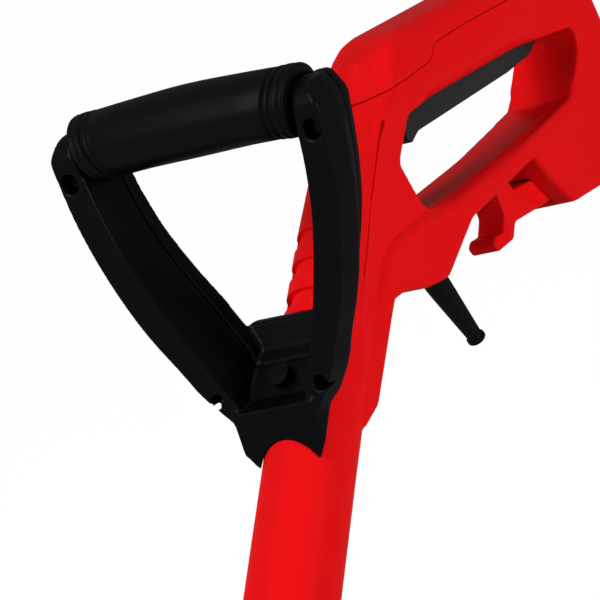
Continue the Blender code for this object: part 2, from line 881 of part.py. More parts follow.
# Front handle
def handle_outline():
    """One arm's front face, from the foot up its outer side and down its inner side: (y, z, radius)."""
    outer = [
        (0.0240, 0.0302, 0),
        (0.0345, 0.0412, 0),
        (0.0400, 0.0515, 0),
        (0.0520, 0.0715, 0),
        (0.0600, 0.0915, 0),
        (0.0656, 0.1105, 0),
        (0.0692, 0.1285, 0),
        (0.0712, 0.1530, 0.008),
        (0.0660, 0.1625, 0.004),
    ]
    inner = [
        (0.0610, 0.1625, 0),
        (0.0582, 0.1520, 0),
        (0.0568, 0.1400, 0),
        (0.0553, 0.1280, 0),
        (0.0517, 0.1100, 0),
        (0.0452, 0.0910, 0),
        (0.0374, 0.0715, 0),
        (0.0285, 0.0525, 0),
        (0.0165, 0.0300, 0),
        (0.0150, 0.0245, 0),
        (0.0205, 0.0240, 0),
    ]
    return outer + inner


def between(table, value):
    """Value read along a table of (position, value) pairs."""
    for (start, first), (end, second) in zip(table, table[1:]):
        if value <= end:
            share = max(0, (value - start) / (end - start))
            return first + (second - first) * share
    return table[-1][1]


def shape_arm(obj):
    """Crest along the arm's outer side, which falls in behind it, as its inner side does."""
    work = bmesh.new()
    work.from_mesh(obj.data)
    geometry = list(work.verts) + list(work.edges) + list(work.faces)
    bmesh.ops.bisect_plane(work, geom=geometry, plane_co=(HANDLE_CREST, 0, 0), plane_no=(1, 0, 0))
    fall = [(0.030, 0.0050), (0.060, 0.0080), (0.082, 0.0075)]
    fall += [(0.105, 0.0043), (0.130, 0.0023), (0.150, 0.0004)]
    slant = [(0.031, 0.0030), (0.052, 0.0145), (0.075, 0.0140)]
    slant += [(0.093, 0.0110), (0.112, 0.0086), (0.134, 0.0067)]
    depth = HANDLE_FRONT - HANDLE_BACK
    for vertex in work.verts:
        y, z = abs(vertex.co.y), vertex.co.z
        back = (HANDLE_FRONT - vertex.co.x) / depth
        if inner_side(y, z):
            y -= between(slant, z) * back
        elif abs(vertex.co.x - HANDLE_CREST) < 1e-4:
            y += 0.0012
        elif vertex.co.x < HANDLE_CREST:
            y -= between(fall, z)
        vertex.co.y = math.copysign(y, vertex.co.y)
    work.to_mesh(obj.data)
    work.free()
    return obj


def round_arm_top(obj):
    """The arm's front rolls back over its top, round the grip's end."""
    front, top = HANDLE_FRONT + 0.0004, HANDLE_TOP + 0.0003
    side = [(-0.03, -0.05), (0.03, -0.05), (0.03, 0.13), (front, 0.13), (front, top, 0.012), (-0.03, top)]
    keep_inside(obj, plate([rounded(side)], 0.1))


def inner_side(y, z):
    """Whether a point of the outline is on the arm's inner side."""
    middle = [(0.0306, 0.0200), (0.0525, 0.0345), (0.0715, 0.0450), (0.091, 0.0525)]
    middle += [(0.110, 0.0586), (0.128, 0.0622), (0.165, 0.0635)]
    return y < between(middle, z)


def handle_screw_places():
    upper, lower = (0.0645, 0.1425), (0.0272, 0.0370)
    return {
        "upper_left": upper,
        "upper_right": (-upper[0], upper[1]),
        "lower_left": lower,
        "lower_right": (-lower[0], lower[1]),
    }


def foot_block():
    """Foot of the handle: a trough in front, a saddle for the shaft behind, narrow tips below."""
    top_edge = 0.0620
    side = [
        (FOOT_FRONT, -0.0050),
        (FOOT_FRONT, 0.0306),
        on_shaft(SADDLE_FLOOR, CLAMP_STATION - 0.0090),
        on_shaft(SADDLE_FLOOR, CLAMP_STATION + 0.0150),
        (HANDLE_BACK - 0.0004, top_edge),
        (HANDLE_BACK - 0.0065, top_edge),
        (HANDLE_BACK - 0.0065, 0.0350),
        (-0.0020, -0.0050),
    ]
    block = plate([side], 0.0300)
    section = [(0.0129, 0.0160), (0.0182, 0.0217), (0.0600, 0.0217)]
    section += [(across, -y) for across, y in reversed(section)]
    prism = plate([section], 0.2, "XY")
    prism.data.transform(shaft_frame)
    keep_inside(block, prism)
    front = [(0.0300, -0.0100), (0.0218, 0.0420), (0.0152, 0.0640)]
    front += [(-y, z) for y, z in reversed(front)]
    return keep_inside(block, plate([front], 0.1, "YZ"))


def handle_solid():
    middle = (HANDLE_FRONT + HANDLE_BACK) / 2
    depth = HANDLE_FRONT - HANDLE_BACK
    left = plate([rounded(handle_outline())], depth / 2, "YZ", middle, flat_caps=True)
    shape_arm(left)
    round_arm_top(left)
    cut(left, box((-0.05, 0.005, -0.1), (0.0190, 0.1, 0.1), shaft_frame))
    right = copy_of(left)
    right.data.transform(Matrix.Diagonal((1, -1, 1, 1)))
    right.data.flip_normals()
    return join(foot_block(), left, right)


def seat_bore():
    """The shaft as the handle's saddle sees it, along its whole travel."""
    radius = SHAFT_RADIUS + TOUCH_GAP
    return turned([(0, 0.2), (radius, 0.2), (radius, -0.1), (0, -0.1)], 48, shaft_frame)


def slab(low_x, high_x):
    return box((low_x, -0.2, -0.2), (high_x, 0.2, 0.4))


def handle_core():
    """Cross bar inside the grip sleeve, moulded with the handle's front half."""
    ends = HANDLE_GRIP_HALF + 0.006
    half = HANDLE_GRIP_HALF / 2
    radius = HANDLE_CORE_RADIUS
    profile = [(0, ends), (radius, ends), (radius, half), (radius, 0)]
    profile += [(radius, -half), (radius, -ends), (0, -ends)]
    frame = Matrix.Translation((0, 0, HANDLE_GRIP_HEIGHT)) @ Matrix.Rotation(math.pi / 2, 4, "X")
    core = arch(turned(profile, 20, frame))
    return keep_inside(core, slab(HANDLE_SPLIT + TOUCH_GAP / 2, 0.1))


def make_handle():
    whole = handle_solid()
    cut(whole, seat_bore())
    grip_room = rod(
        (0, -HANDLE_GRIP_HALF - TOUCH_GAP, HANDLE_GRIP_HEIGHT),
        (0, HANDLE_GRIP_HALF + TOUCH_GAP, HANDLE_GRIP_HEIGHT),
        HANDLE_GRIP_RADIUS + 0.0010,
        24,
    )
    slant_ends(grip_room)
    grip_room.data.transform(Matrix.Translation((0, 0, -HANDLE_GRIP_ARCH)))
    cut(whole, grip_room)
    bolt_x, bolt_z = on_shaft(0.0, CLAMP_STATION)
    out = shaft_frame.to_3x3() @ Vector((1, 0, 0))
    foot_point = Vector((bolt_x, 0, bolt_z))
    cut(whole, rod(foot_point, foot_point + out * 0.05, CLAMP_RADIUS + TOUCH_GAP, 16))
    rear = copy_of(whole)
    keep_inside(rear, slab(-0.1, HANDLE_SPLIT - TOUCH_GAP / 2))
    keep_inside(whole, slab(HANDLE_SPLIT + TOUCH_GAP / 2, 0.1))
    join(whole, handle_core())
    for name, (y, z) in handle_screw_places().items():
        seat = HANDLE_SCREW_SEAT
        end = HANDLE_BACK + 0.0016
        hole = SCREW_RADIUS + TOUCH_GAP
        cut(whole, rod((seat, y, z), (0.03, y, z), HANDLE_RECESS_RADIUS, 16))
        cut(whole, rod((-0.02, y, z), (0.01, y, z), hole, 10))
        cut(rear, rod((end - TOUCH_GAP, y, z), (0.01, y, z), hole, 10))
        screw = rod((end, y, z), (seat + 0.001, y, z), SCREW_RADIUS, 10)
        join(screw, rod((seat + TOUCH_GAP, y, z), (seat + 0.0025, y, z), SCREW_HEAD_RADIUS, 14))
        finish(screw, "front_handle_screw_" + name, "steel")
    finish(whole, "front_handle_front", "black plastic")
    finish(rear, "front_handle_rear", "black plastic")


def slant_ends(obj):
    """The sleeve's ends and rings lean outwards with the arms."""
    for vertex in obj.data.vertices:
        share = min(max(abs(vertex.co.y) - 0.020, 0) / 0.015, 1)
        rise = (vertex.co.z - HANDLE_GRIP_HEIGHT) * HANDLE_GRIP_SLANT
        vertex.co.y += share * rise * math.copysign(1, vertex.co.y)
    return obj


def arch(obj):
    """The grip rises a little towards its middle."""
    for vertex in obj.data.vertices:
        vertex.co.z -= HANDLE_GRIP_ARCH * (vertex.co.y / HANDLE_GRIP_HALF) ** 2
    return obj


def make_handle_grip():
    half = HANDLE_GRIP_HALF
    end = HANDLE_END_RADIUS
    side = [
        (HANDLE_GRIP_RADIUS, 0.0),
        (HANDLE_GRIP_RADIUS - 0.0003, half * 0.30),
        (end + 0.0002, half - 0.0118),
        (end - 0.0005, half - 0.0110),
        (end + 0.0003, half - 0.0098),
        (end - 0.0005, half - 0.0072),
        (end + 0.0006, half - 0.0060),
        (end + 0.0006, half - 0.0010),
        (end - 0.0004, half),
    ]
    bore = HANDLE_CORE_RADIUS + TOUCH_GAP
    inside = [(bore, -half), (bore, -half / 2), (bore, 0), (bore, half / 2), (bore, half)]
    profile = list(reversed(side)) + [(radius, -height) for radius, height in side[1:]] + inside
    frame = Matrix.Translation((0, 0, HANDLE_GRIP_HEIGHT)) @ Matrix.Rotation(math.pi / 2, 4, "X")
    finish(arch(slant_ends(turned(profile, 22, frame))), "front_grip_sleeve", "soft black rubber")


def make_handle_clamp():
    """Bolt through the saddle and the shaft's slot, and the nut plate behind the shaft's wall."""
    nut_top = 0.0140
    nut = box(
        (nut_top - 0.004, -0.0070, CLAMP_STATION - 0.008),
        (nut_top, 0.0070, CLAMP_STATION + 0.008),
        shaft_frame,
    )
    nut_frame = shaft_frame @ Matrix.Translation((0, 0, CLAMP_STATION))
    nut_frame = nut_frame @ Matrix.Rotation(math.pi / 2, 4, "Y")
    cut(nut, ring_cutter(CLAMP_RADIUS + TOUCH_GAP / 2, nut_frame))
    finish(nut, "handle_nut_plate", "steel")
    seat = SADDLE_FLOOR + TOUCH_GAP
    bolt = turned(
        [
            (0, seat + 0.004),
            (0.0052, seat + 0.004),
            (0.0052, seat),
            (CLAMP_RADIUS, seat),
            (CLAMP_RADIUS, nut_top - 0.005),
            (0, nut_top - 0.005),
        ],
        18,
        nut_frame,
    )
    finish(bolt, "handle_clamp_bolt", "steel")


def ring_cutter(radius, frame):
    return turned([(0, 0.03), (radius, 0.03), (radius, -0.005), (0, -0.005)], 16, frame)


# Lower tube and motor head
def make_shaft_tube():
    low = -SHAFT_LENGTH + NECK_SOCKET + TOUCH_GAP
    tube = ring(TUBE_RADIUS - TUBE_WALL, TUBE_RADIUS, low, TUBE_TOP, 28, shaft_frame)
    cross_hole(tube, *tube_bolt_place())
    cross_hole(tube, *neck_bolt_place())
    finish(tube, "shaft_tube", "aluminium")


def neck_bolt_place():
    return on_shaft(-CROSS_BOLT_OFFSET, -SHAFT_LENGTH + NECK_LENGTH - 0.020)


def motor_outer_profile(radius, top, bottom):
    crown = radius * 0.62
    return [
        (0, top),
        (crown * 0.62, top),
        (crown, top - 0.0025),
        (radius * 0.86, top - 0.010),
        (radius, top - 0.026),
        (radius, bottom),
        (0, bottom),
    ]


def make_motor_housing():
    """One-piece housing: an upturned cup with a sloping neck that takes the tube."""
    outer = turned(motor_outer_profile(MOTOR_RADIUS, MOTOR_TOP, MOTOR_BOTTOM), 34, head_frame)
    neck_frame = head_frame @ shaft_frame
    join(
        outer,
        turned(
            [
                (0, NECK_LENGTH),
                (NECK_RADIUS, NECK_LENGTH),
                (NECK_RADIUS, NECK_LENGTH - 0.030),
                (NECK_RADIUS + 0.006, 0.020),
                (0, 0.020),
            ],
            28,
            neck_frame,
        ),
    )
    inner_radius = MOTOR_RADIUS - MOTOR_WALL
    cut(
        outer,
        turned(
            motor_outer_profile(inner_radius, MOTOR_TOP - MOTOR_WALL, MOTOR_BOTTOM - 0.01),
            34,
            head_frame,
        ),
    )
    cut(
        outer,
        turned(
            [
                (0, NECK_LENGTH + 0.01),
                (TUBE_RADIUS + TOUCH_GAP, NECK_LENGTH + 0.01),
                (TUBE_RADIUS + TOUCH_GAP, NECK_SOCKET),
                (0.008, NECK_SOCKET),
                (0.008, 0.020),
                (0, 0.020),
            ],
            28,
            neck_frame,
        ),
    )
    roof = MOTOR_TOP - MOTOR_WALL
    join(
        outer,
        ring(
            BEARING_RADIUS + TOUCH_GAP,
            BEARING_RADIUS + 0.003,
            roof - BEARING_WIDTH - TOUCH_GAP,
            roof + 0.001,
            28,
            head_frame,
        ),
    )
    for angle in range(30, 360, 60):
        turn = head_frame @ Matrix.Rotation(math.radians(angle), 4, "Z")
        rib = box((STATOR_RADIUS + TOUCH_GAP, -0.002, -0.030), (MOTOR_RADIUS - 0.001, 0.002, 0.030), turn)
        join(outer, rib)
        near, far = STATOR_RADIUS - 0.003, MOTOR_RADIUS - 0.001
        shelf = box((near, -0.002, STATOR_HALF + TOUCH_GAP), (far, 0.002, 0.030), turn)
        join(outer, shelf)
    for x, y in guard_screw_places():
        post = rod(
            (head_x + x, y, head_z + PLATE_TOP + TOUCH_GAP),
            (head_x + x, y, head_z - STATOR_HALF - 0.0105),
            0.0042,
            14,
        )
        join(outer, post)
        length = math.hypot(x, y)
        turn = head_frame @ Matrix.Rotation(math.atan2(y, x), 4, "Z")
        foot_low, foot_high = PLATE_TOP + TOUCH_GAP, -STATOR_HALF - 0.004
        web = box((length, -0.0015, foot_low), (MOTOR_RADIUS - 0.001, 0.0015, foot_high), turn)
        join(outer, web)
        cut(
            outer,
            rod(
                (head_x + x, y, head_z + PLATE_TOP - 0.01),
                (head_x + x, y, head_z + PLATE_TOP + 0.0105),
                GUARD_SCREW_RADIUS + TOUCH_GAP,
                12,
            ),
        )
    for index in range(9):
        angle = math.radians(-64 + index * 16)
        turn = head_frame @ Matrix.Rotation(angle, 4, "Z")
        cut(outer, box((MOTOR_RADIUS - 0.0015 - MOTOR_WALL, -0.002, -0.040), (0.06, 0.002, -0.033), turn))
    cross_hole(outer, *neck_bolt_place())
    finish(outer, "motor_housing", "red plastic")
    x, z = neck_bolt_place()
    finish(cross_bolt(x, z, NECK_RADIUS + TOUCH_GAP), "neck_bolt", "steel")


def make_motor():
    bore = MOTOR_SHAFT_RADIUS + TOUCH_GAP
    ends = STATOR_HALF + TOUCH_GAP
    stator = ring(STATOR_BORE, STATOR_RADIUS, -STATOR_HALF, STATOR_HALF, 36, head_frame)
    windings = ring(STATOR_BORE + 0.001, STATOR_RADIUS - 0.0045, ends, ends + 0.0085, 28, head_frame)
    join(windings, ring(STATOR_BORE + 0.001, STATOR_RADIUS - 0.0045, -ends - 0.0085, -ends, 28, head_frame))
    for side in (-1, 1):
        low_y, high_y = sorted((0.0225 * side, 0.0295 * side))
        gap = TOUCH_GAP
        cut(stator, box((-0.005 - gap, low_y - gap, -0.03), (0.005 + gap, high_y + gap, 0.03), head_frame))
        join(windings, box((-0.005, low_y, -ends - 0.001), (0.005, high_y, ends + 0.001), head_frame))
    finish(stator, "stator_core", "steel laminations")
    finish(windings, "field_windings", "copper")

    rotor_radius = STATOR_BORE - 0.0006
    commutator_low = STATOR_HALF + 0.0085
    rotor = ring(bore, rotor_radius, -STATOR_HALF, STATOR_HALF, 28, head_frame)
    coils = ring(bore, rotor_radius - 0.003, ends, commutator_low - TOUCH_GAP, 24, head_frame)
    join(coils, ring(bore, rotor_radius - 0.003, -ends - 0.0075, -ends, 24, head_frame))
    for index in range(6):
        turn = head_frame @ Matrix.Rotation(math.tau * index / 6, 4, "Z")
        gap = TOUCH_GAP
        cut(rotor, box((0.0085, -0.002 - gap, -0.03), (0.0145 + gap, 0.002 + gap, 0.03), turn))
        join(coils, box((0.0088, -0.002, -ends - 0.001), (0.0145, 0.002, ends + 0.001), turn))
    finish(rotor, "rotor_core", "steel laminations", (head_x, 0, head_z))
    finish(coils, "rotor_windings", "copper", (head_x, 0, head_z))
    commutator = ring(bore, COMMUTATOR_RADIUS, commutator_low, commutator_low + 0.013, 24, head_frame)
    finish(commutator, "commutator", "copper", (head_x, 0, head_z))

    bearing_top = MOTOR_TOP - MOTOR_WALL - TOUCH_GAP
    upper = ring(bore, BEARING_RADIUS, bearing_top - BEARING_WIDTH, bearing_top, 24, head_frame)
    finish(upper, "upper_bearing", "steel")
    seat = PLATE_TOP + TOUCH_GAP
    lower = ring(bore, BEARING_RADIUS, seat, seat + BEARING_WIDTH, 24, head_frame)
    finish(lower, "lower_bearing", "steel")
    shaft = rod(
        (head_x, 0, head_z + bearing_top - 0.0003),
        (head_x, 0, head_z + HUB_TOP - 0.0105),
        MOTOR_SHAFT_RADIUS,
        20,
    )
    finish(shaft, "motor_shaft", "steel", (head_x, 0, head_z))
    make_brushes(commutator_low + 0.0065)
    make_fan()


def make_brushes(height):
    """Carbon brushes on both sides of the commutator, each in its brass holder."""
    for name, side in (("left", 1), ("right", -1)):
        near, far = sorted(((COMMUTATOR_RADIUS + 0.0012) * side, 0.0325 * side))
        holder = box((-0.0045, near, height - 0.0045), (0.0045, far, height + 0.0045), head_frame)
        low, high = (-0.0033, near - 0.01, height - 0.0033), (0.0033, far + 0.01, height + 0.0033)
        cut(holder, box(low, high, head_frame))
        finish(holder, "brush_holder_" + name, "brass")
        near, far = sorted(((COMMUTATOR_RADIUS + TOUCH_GAP) * side, 0.0280 * side))
        brush = box((-0.0030, near, height - 0.0030), (0.0030, far, height + 0.0030), head_frame)
        finish(brush, "carbon_brush_" + name, "carbon")


def make_fan():
    low = -0.0330
    bore = MOTOR_SHAFT_RADIUS + TOUCH_GAP
    fan = ring(bore, 0.0085, low, low + 0.0075, 24, head_frame)
    join(fan, ring(0.007, FAN_RADIUS, low, low + 0.0015, 26, head_frame))
    for index in range(8):
        turn = head_frame @ Matrix.Rotation(math.tau * index / 8, 4, "Z")
        join(fan, box((0.008, -0.0007, low + 0.001), (FAN_RADIUS - 0.001, 0.0007, low + 0.0070), turn))
    finish(fan, "cooling_fan", "black plastic")


def make_bearing_plate():
    """Plate that closes the housing's bottom, holds the lower bearing and carries the guard."""
    plate_radius = MOTOR_RADIUS - MOTOR_WALL - TOUCH_GAP
    obj = ring(0.0062, plate_radius, PLATE_TOP - 0.0028, PLATE_TOP, 34, head_frame)
    join(
        obj,
        ring(
            BEARING_RADIUS + TOUCH_GAP,
            BEARING_RADIUS + 0.0025,
            PLATE_TOP - 0.001,
            PLATE_TOP + BEARING_WIDTH,
            28,
            head_frame,
        ),
    )
    for x, y in guard_screw_places():
        screw_hole(obj, x, y)
    finish(obj, "bearing_plate", "black plastic")


def screw_hole(target, x, y):
    low, high = head_z + PLATE_TOP - 0.02, head_z + PLATE_TOP + 0.001
    return cut(target, rod((head_x + x, y, low), (head_x + x, y, high), GUARD_SCREW_RADIUS + TOUCH_GAP, 12))


def guard_screw_places():
    return [(0, 0.034), (0, -0.034)]


def arc(radius, first, last, steps):
    points = []
    for step in range(steps + 1):
        angle = math.radians(first + (last - first) * step / steps)
        points.append((radius * math.cos(angle), radius * math.sin(angle)))
    return points


def make_guard():
    """Debris guard behind the spool: a flat fan-shaped deck with a skirt round its rear edge."""
    first, last = 180 - GUARD_HALF_ANGLE, 180 + GUARD_HALF_ANGLE
    top = PLATE_TOP - 0.0028 - TOUCH_GAP
    outline = arc(GUARD_RADIUS, first, last, 24) + arc(0.052, last + 12, 360 + first - 12, 10)
    hole = list(reversed(arc(0.0100, 0, 345, 23)))
    deck = plate([outline, hole], GUARD_THICKNESS / 2, "XY", top - GUARD_THICKNESS / 2)
    inner = GUARD_RADIUS - GUARD_THICKNESS
    skirt_loop = arc(GUARD_RADIUS, first, last, 24) + arc(inner, last, first, 24)
    skirt = plate([skirt_loop], GUARD_SKIRT / 2, "XY", top - GUARD_SKIRT / 2)
    join(deck, skirt)
    deck.data.transform(head_frame)
    low = head_z + top - GUARD_THICKNESS
    for name, (x, y) in zip(("left", "right"), guard_screw_places()):
        screw_hole(deck, x, y)
        x += head_x
        screw = rod((x, y, head_z + PLATE_TOP + 0.010), (x, y, low - 0.001), GUARD_SCREW_RADIUS, 12)
        join(screw, rod((x, y, low - TOUCH_GAP), (x, y, low - 0.0022), 0.0036, 16))
        finish(screw, "guard_screw_" + name, "steel")
    make_line_cutter(deck, top, last)
    finish(deck, "debris_guard", "black plastic")


def make_line_cutter(deck, top, angle):
    """Steel blade inside the skirt's end, which trims the line to length, and its screw."""
    turn = head_frame @ Matrix.Rotation(math.radians(angle - 9), 4, "Z")
    inner = (GUARD_RADIUS - GUARD_THICKNESS) * math.cos(math.radians(8))
    height = top - 0.021
    outer = GUARD_RADIUS - 0.0008
    pad = box((inner - 0.0005, -0.012, height - 0.009), (outer, 0.012, height + 0.009), turn)
    join(deck, pad)
    face = inner - 0.0005 - TOUCH_GAP
    blade = box((face - 0.0015, -0.014, height - 0.0085), (face, 0.014, height + 0.0085), turn)
    hole_radius = CUTTER_SCREW_RADIUS + TOUCH_GAP
    ends = [turn @ Vector((x, 0, height)) for x in (face - 0.005, GUARD_RADIUS - 0.0015)]
    cut(blade, rod(ends[0], ends[1], hole_radius, 12))
    cut(deck, rod(ends[0], ends[1], hole_radius, 12))
    head = [turn @ Vector((face - 0.0015 - x, 0, height)) for x in (TOUCH_GAP, 0.0020)]
    tip = turn @ Vector((GUARD_RADIUS - 0.0025, 0, height))
    screw = rod(head[0], head[1], 0.0034, 14)
    join(screw, rod(head[1] * 0.5 + head[0] * 0.5, tip, CUTTER_SCREW_RADIUS, 12))
    finish(blade, "line_cutter", "steel")
    finish(screw, "line_cutter_screw", "steel")


# Spool head
def make_hub():
    inner_radius = HUB_RADIUS - HUB_WALL
    bore = MOTOR_SHAFT_RADIUS + TOUCH_GAP
    hub = turned(
        [
            (bore, HUB_TOP + 0.0045),
            (0.0090, HUB_TOP + 0.0045),
            (0.0095, HUB_TOP),
            (HUB_RADIUS - 0.0060, HUB_TOP),
            (HUB_RADIUS, HUB_TOP - 0.0050),
            (HUB_RADIUS, HUB_BOTTOM),
            (inner_radius, HUB_BOTTOM),
            (inner_radius, HUB_TOP - 0.0060),
            (inner_radius - 0.0045, HUB_TOP - HUB_WALL),
            (0.0090, HUB_TOP - HUB_WALL),
            (0.0090, HUB_TOP - 0.0100),
            (bore, HUB_TOP - 0.0100),
        ],
        30,
        head_frame,
    )
    for side in (-1, 1):
        start = head_frame @ Vector((0, 0.030 * side, LINE_HEIGHT))
        end = head_frame @ Vector((0, 0.050 * side, LINE_HEIGHT))
        cut(hub, rod(start, end, EYELET_RADIUS + TOUCH_GAP, 14))
    for index in range(12):
        angle = math.radians(15 + 30 * index)
        if index % 6 in (2, 3):
            continue
        turn = head_frame @ Matrix.Rotation(angle, 4, "Z")
        low = (HUB_RADIUS - 0.001, -0.0020, HUB_BOTTOM + 0.004)
        high = (HUB_RADIUS + 0.0012, 0.0020, HUB_TOP - 0.008)
        join(hub, box(low, high, turn))
    finish(hub, "spool_hub", "black plastic", (head_x, 0, head_z))
    make_eyelets()


def make_eyelets():
    """Metal bushes where the line leaves the hub, and the two ends of line that they guide."""
    for name, side in (("left", 1), ("right", -1)):
        turn = head_frame @ Matrix.Translation((0, 0, LINE_HEIGHT))
        turn = turn @ Matrix.Rotation(-math.pi / 2 * side, 4, "X")
        inner = HUB_RADIUS - HUB_WALL + 0.0002
        eyelet = turned(
            [
                (LINE_RADIUS + TOUCH_GAP, HUB_RADIUS + 0.0022),
                (EYELET_RADIUS + 0.0010, HUB_RADIUS + 0.0022),
                (EYELET_RADIUS + 0.0010, HUB_RADIUS + TOUCH_GAP),
                (EYELET_RADIUS, HUB_RADIUS + TOUCH_GAP),
                (EYELET_RADIUS, inner),
                (LINE_RADIUS + TOUCH_GAP, inner),
            ],
            18,
            turn,
        )
        finish(eyelet, "line_eyelet_" + name, "steel", (head_x, 0, head_z))
        first = head_frame @ Vector((0, (SPOOL_RADIUS + 0.0010) * side, LINE_HEIGHT))
        last = head_frame @ Vector((0, CUTTING_RADIUS * side, LINE_HEIGHT))
        finish(rod(first, last, LINE_RADIUS, 10), "cutting_line_" + name, "line", (head_x, 0, head_z))


def make_spool():
    top = HUB_TOP - HUB_WALL - SPOOL_TRAVEL - 0.0015
    low = HUB_BOTTOM + 0.0020
    core_radius = 0.0150
    inner = 0.0112
    spool = turned(
        [
            (inner, top),
            (SPOOL_RADIUS, top),
            (SPOOL_RADIUS, top - 0.0015),
            (core_radius, top - 0.0015),
            (core_radius, low + 0.0015),
            (SPOOL_RADIUS, low + 0.0015),
            (SPOOL_RADIUS, low),
            (KNOB_RADIUS - 0.0020, low),
            (KNOB_RADIUS - 0.0020, low - 0.0030),
            (inner, low - 0.0030),
        ],
        26,
        head_frame,
    )
    finish(spool, "line_spool", "grey plastic", (head_x, 0, head_z))
    between_flanges = (low + 0.0015 + TOUCH_GAP, top - 0.0015 - TOUCH_GAP)
    wound = ring(core_radius + TOUCH_GAP, SPOOL_RADIUS - 0.004, *between_flanges, 28, head_frame)
    finish(wound, "wound_line", "line", (head_x, 0, head_z))
    knob_top = low - 0.0030 - TOUCH_GAP
    knob = turned(
        [
            (0, knob_top),
            (KNOB_RADIUS, knob_top),
            (KNOB_RADIUS, KNOB_BOTTOM + 0.0050),
            (KNOB_RADIUS - 0.0022, KNOB_BOTTOM + 0.0012),
            (KNOB_RADIUS - 0.0070, KNOB_BOTTOM),
            (0, KNOB_BOTTOM),
        ],
        32,
        head_frame,
    )
    finish(knob, "tap_knob", "black plastic", (head_x, 0, head_z))
    spring_low = knob_top + TOUCH_GAP
    spring_high = HUB_TOP - 0.0105 - 0.0005 - TOUCH_GAP
    spring = coil(0.0082, 0.0006, 4, spring_low, spring_high, head_x)
    spring.data.transform(Matrix.Translation((0, 0, head_z)))
    finish(spring, "tap_spring", "steel", (head_x, 0, head_z))


def make_hub_cover():
    """Snap-on cap that keeps the spool in the hub and lets the knob through."""
    cover = turned(
        [
            (KNOB_RADIUS + 0.0010, HUB_BOTTOM - TOUCH_GAP),
            (HUB_RADIUS + 0.0006, HUB_BOTTOM - TOUCH_GAP),
            (HUB_RADIUS + 0.0006, HUB_BOTTOM - 0.0040),
            (HUB_RADIUS - 0.0060, HUB_BOTTOM - 0.0065),
            (KNOB_RADIUS + 0.0010, HUB_BOTTOM - 0.0065),
        ],
        30,
        head_frame,
    )
    finish(cover, "hub_cover", "black plastic", (head_x, 0, head_z))


# Assembly
for leftover in list(bpy.data.objects):
    bpy.data.objects.remove(leftover)
bpy.context.scene.collection.children.link(collection)

materials = {
    "red plastic": make_material("red plastic", (0.72, 0.008, 0.008), 0.32),
    "black plastic": make_material("black plastic", (0.008, 0.008, 0.008), 0.45),
    "dark plastic": make_material("dark plastic", (0.022, 0.022, 0.022), 0.5),
    "soft black rubber": make_material("soft black rubber", (0.010, 0.010, 0.010), 0.55),
    "black rubber": make_material("black rubber", (0.012, 0.012, 0.012), 0.7),
    "grey plastic": make_material("grey plastic", (0.18, 0.18, 0.18), 0.5),
    "yellow film": make_material("yellow film", (0.55, 0.38, 0.04), 0.4),
    "steel": make_material("steel", (0.55, 0.55, 0.56), 0.3, 1.0),
    "steel laminations": make_material("steel laminations", (0.30, 0.30, 0.32), 0.5, 1.0),
    "aluminium": make_material("aluminium", (0.72, 0.72, 0.74), 0.35, 1.0),
    "copper": make_material("copper", (0.62, 0.25, 0.10), 0.35, 1.0),
    "brass": make_material("brass", (0.65, 0.48, 0.18), 0.35, 1.0),
    "carbon": make_material("carbon", (0.03, 0.03, 0.03), 0.8),
    "line": make_material("line", (0.75, 0.30, 0.03), 0.35),
}

foot = bpy.data.objects.new("foot", None)
foot.location = (GRIP_TO_FOOT_X, 0, GRIP_TO_FOOT_Z)
collection.objects.link(foot)

make_body()
make_body_screws()
make_tube_bolt()
make_trigger()
make_switch()
make_electrics()
make_motor_lead()
make_cord_guard()
make_cord_hook()
make_handle()
make_handle_grip()
make_handle_clamp()
make_shaft_tube()
make_motor_housing()
make_motor()
make_bearing_plate()
make_guard()
make_hub()
make_hub_cover()
make_spool()
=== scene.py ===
# Electric string trimmer: looped rear grip with trigger, sliding front handle, tube and motor head.
# The camera looks at the handles from ahead and from the user's left.
import math

import bmesh
import bpy
from mathutils import Matrix, Vector


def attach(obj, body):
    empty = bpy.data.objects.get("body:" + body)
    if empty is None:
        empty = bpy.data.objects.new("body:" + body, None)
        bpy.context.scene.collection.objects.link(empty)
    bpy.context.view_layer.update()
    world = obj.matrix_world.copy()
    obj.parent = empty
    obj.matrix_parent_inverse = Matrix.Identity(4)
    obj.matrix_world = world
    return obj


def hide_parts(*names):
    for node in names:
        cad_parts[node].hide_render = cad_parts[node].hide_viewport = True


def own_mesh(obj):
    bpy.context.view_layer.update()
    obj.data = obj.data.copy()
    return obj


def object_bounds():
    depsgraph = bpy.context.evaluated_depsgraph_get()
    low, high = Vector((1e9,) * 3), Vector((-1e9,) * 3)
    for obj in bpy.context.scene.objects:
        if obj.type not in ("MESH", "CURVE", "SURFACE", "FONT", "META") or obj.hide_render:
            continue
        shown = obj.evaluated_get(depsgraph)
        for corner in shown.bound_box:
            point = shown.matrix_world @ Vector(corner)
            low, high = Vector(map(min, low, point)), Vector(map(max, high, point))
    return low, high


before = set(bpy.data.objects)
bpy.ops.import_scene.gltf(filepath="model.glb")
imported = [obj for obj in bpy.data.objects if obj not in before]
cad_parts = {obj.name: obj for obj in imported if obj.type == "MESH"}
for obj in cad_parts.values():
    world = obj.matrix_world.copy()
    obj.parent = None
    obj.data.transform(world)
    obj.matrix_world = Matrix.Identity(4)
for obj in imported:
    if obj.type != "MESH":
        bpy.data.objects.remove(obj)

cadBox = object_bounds()
print("frame loaded:", len(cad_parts), "nodes")

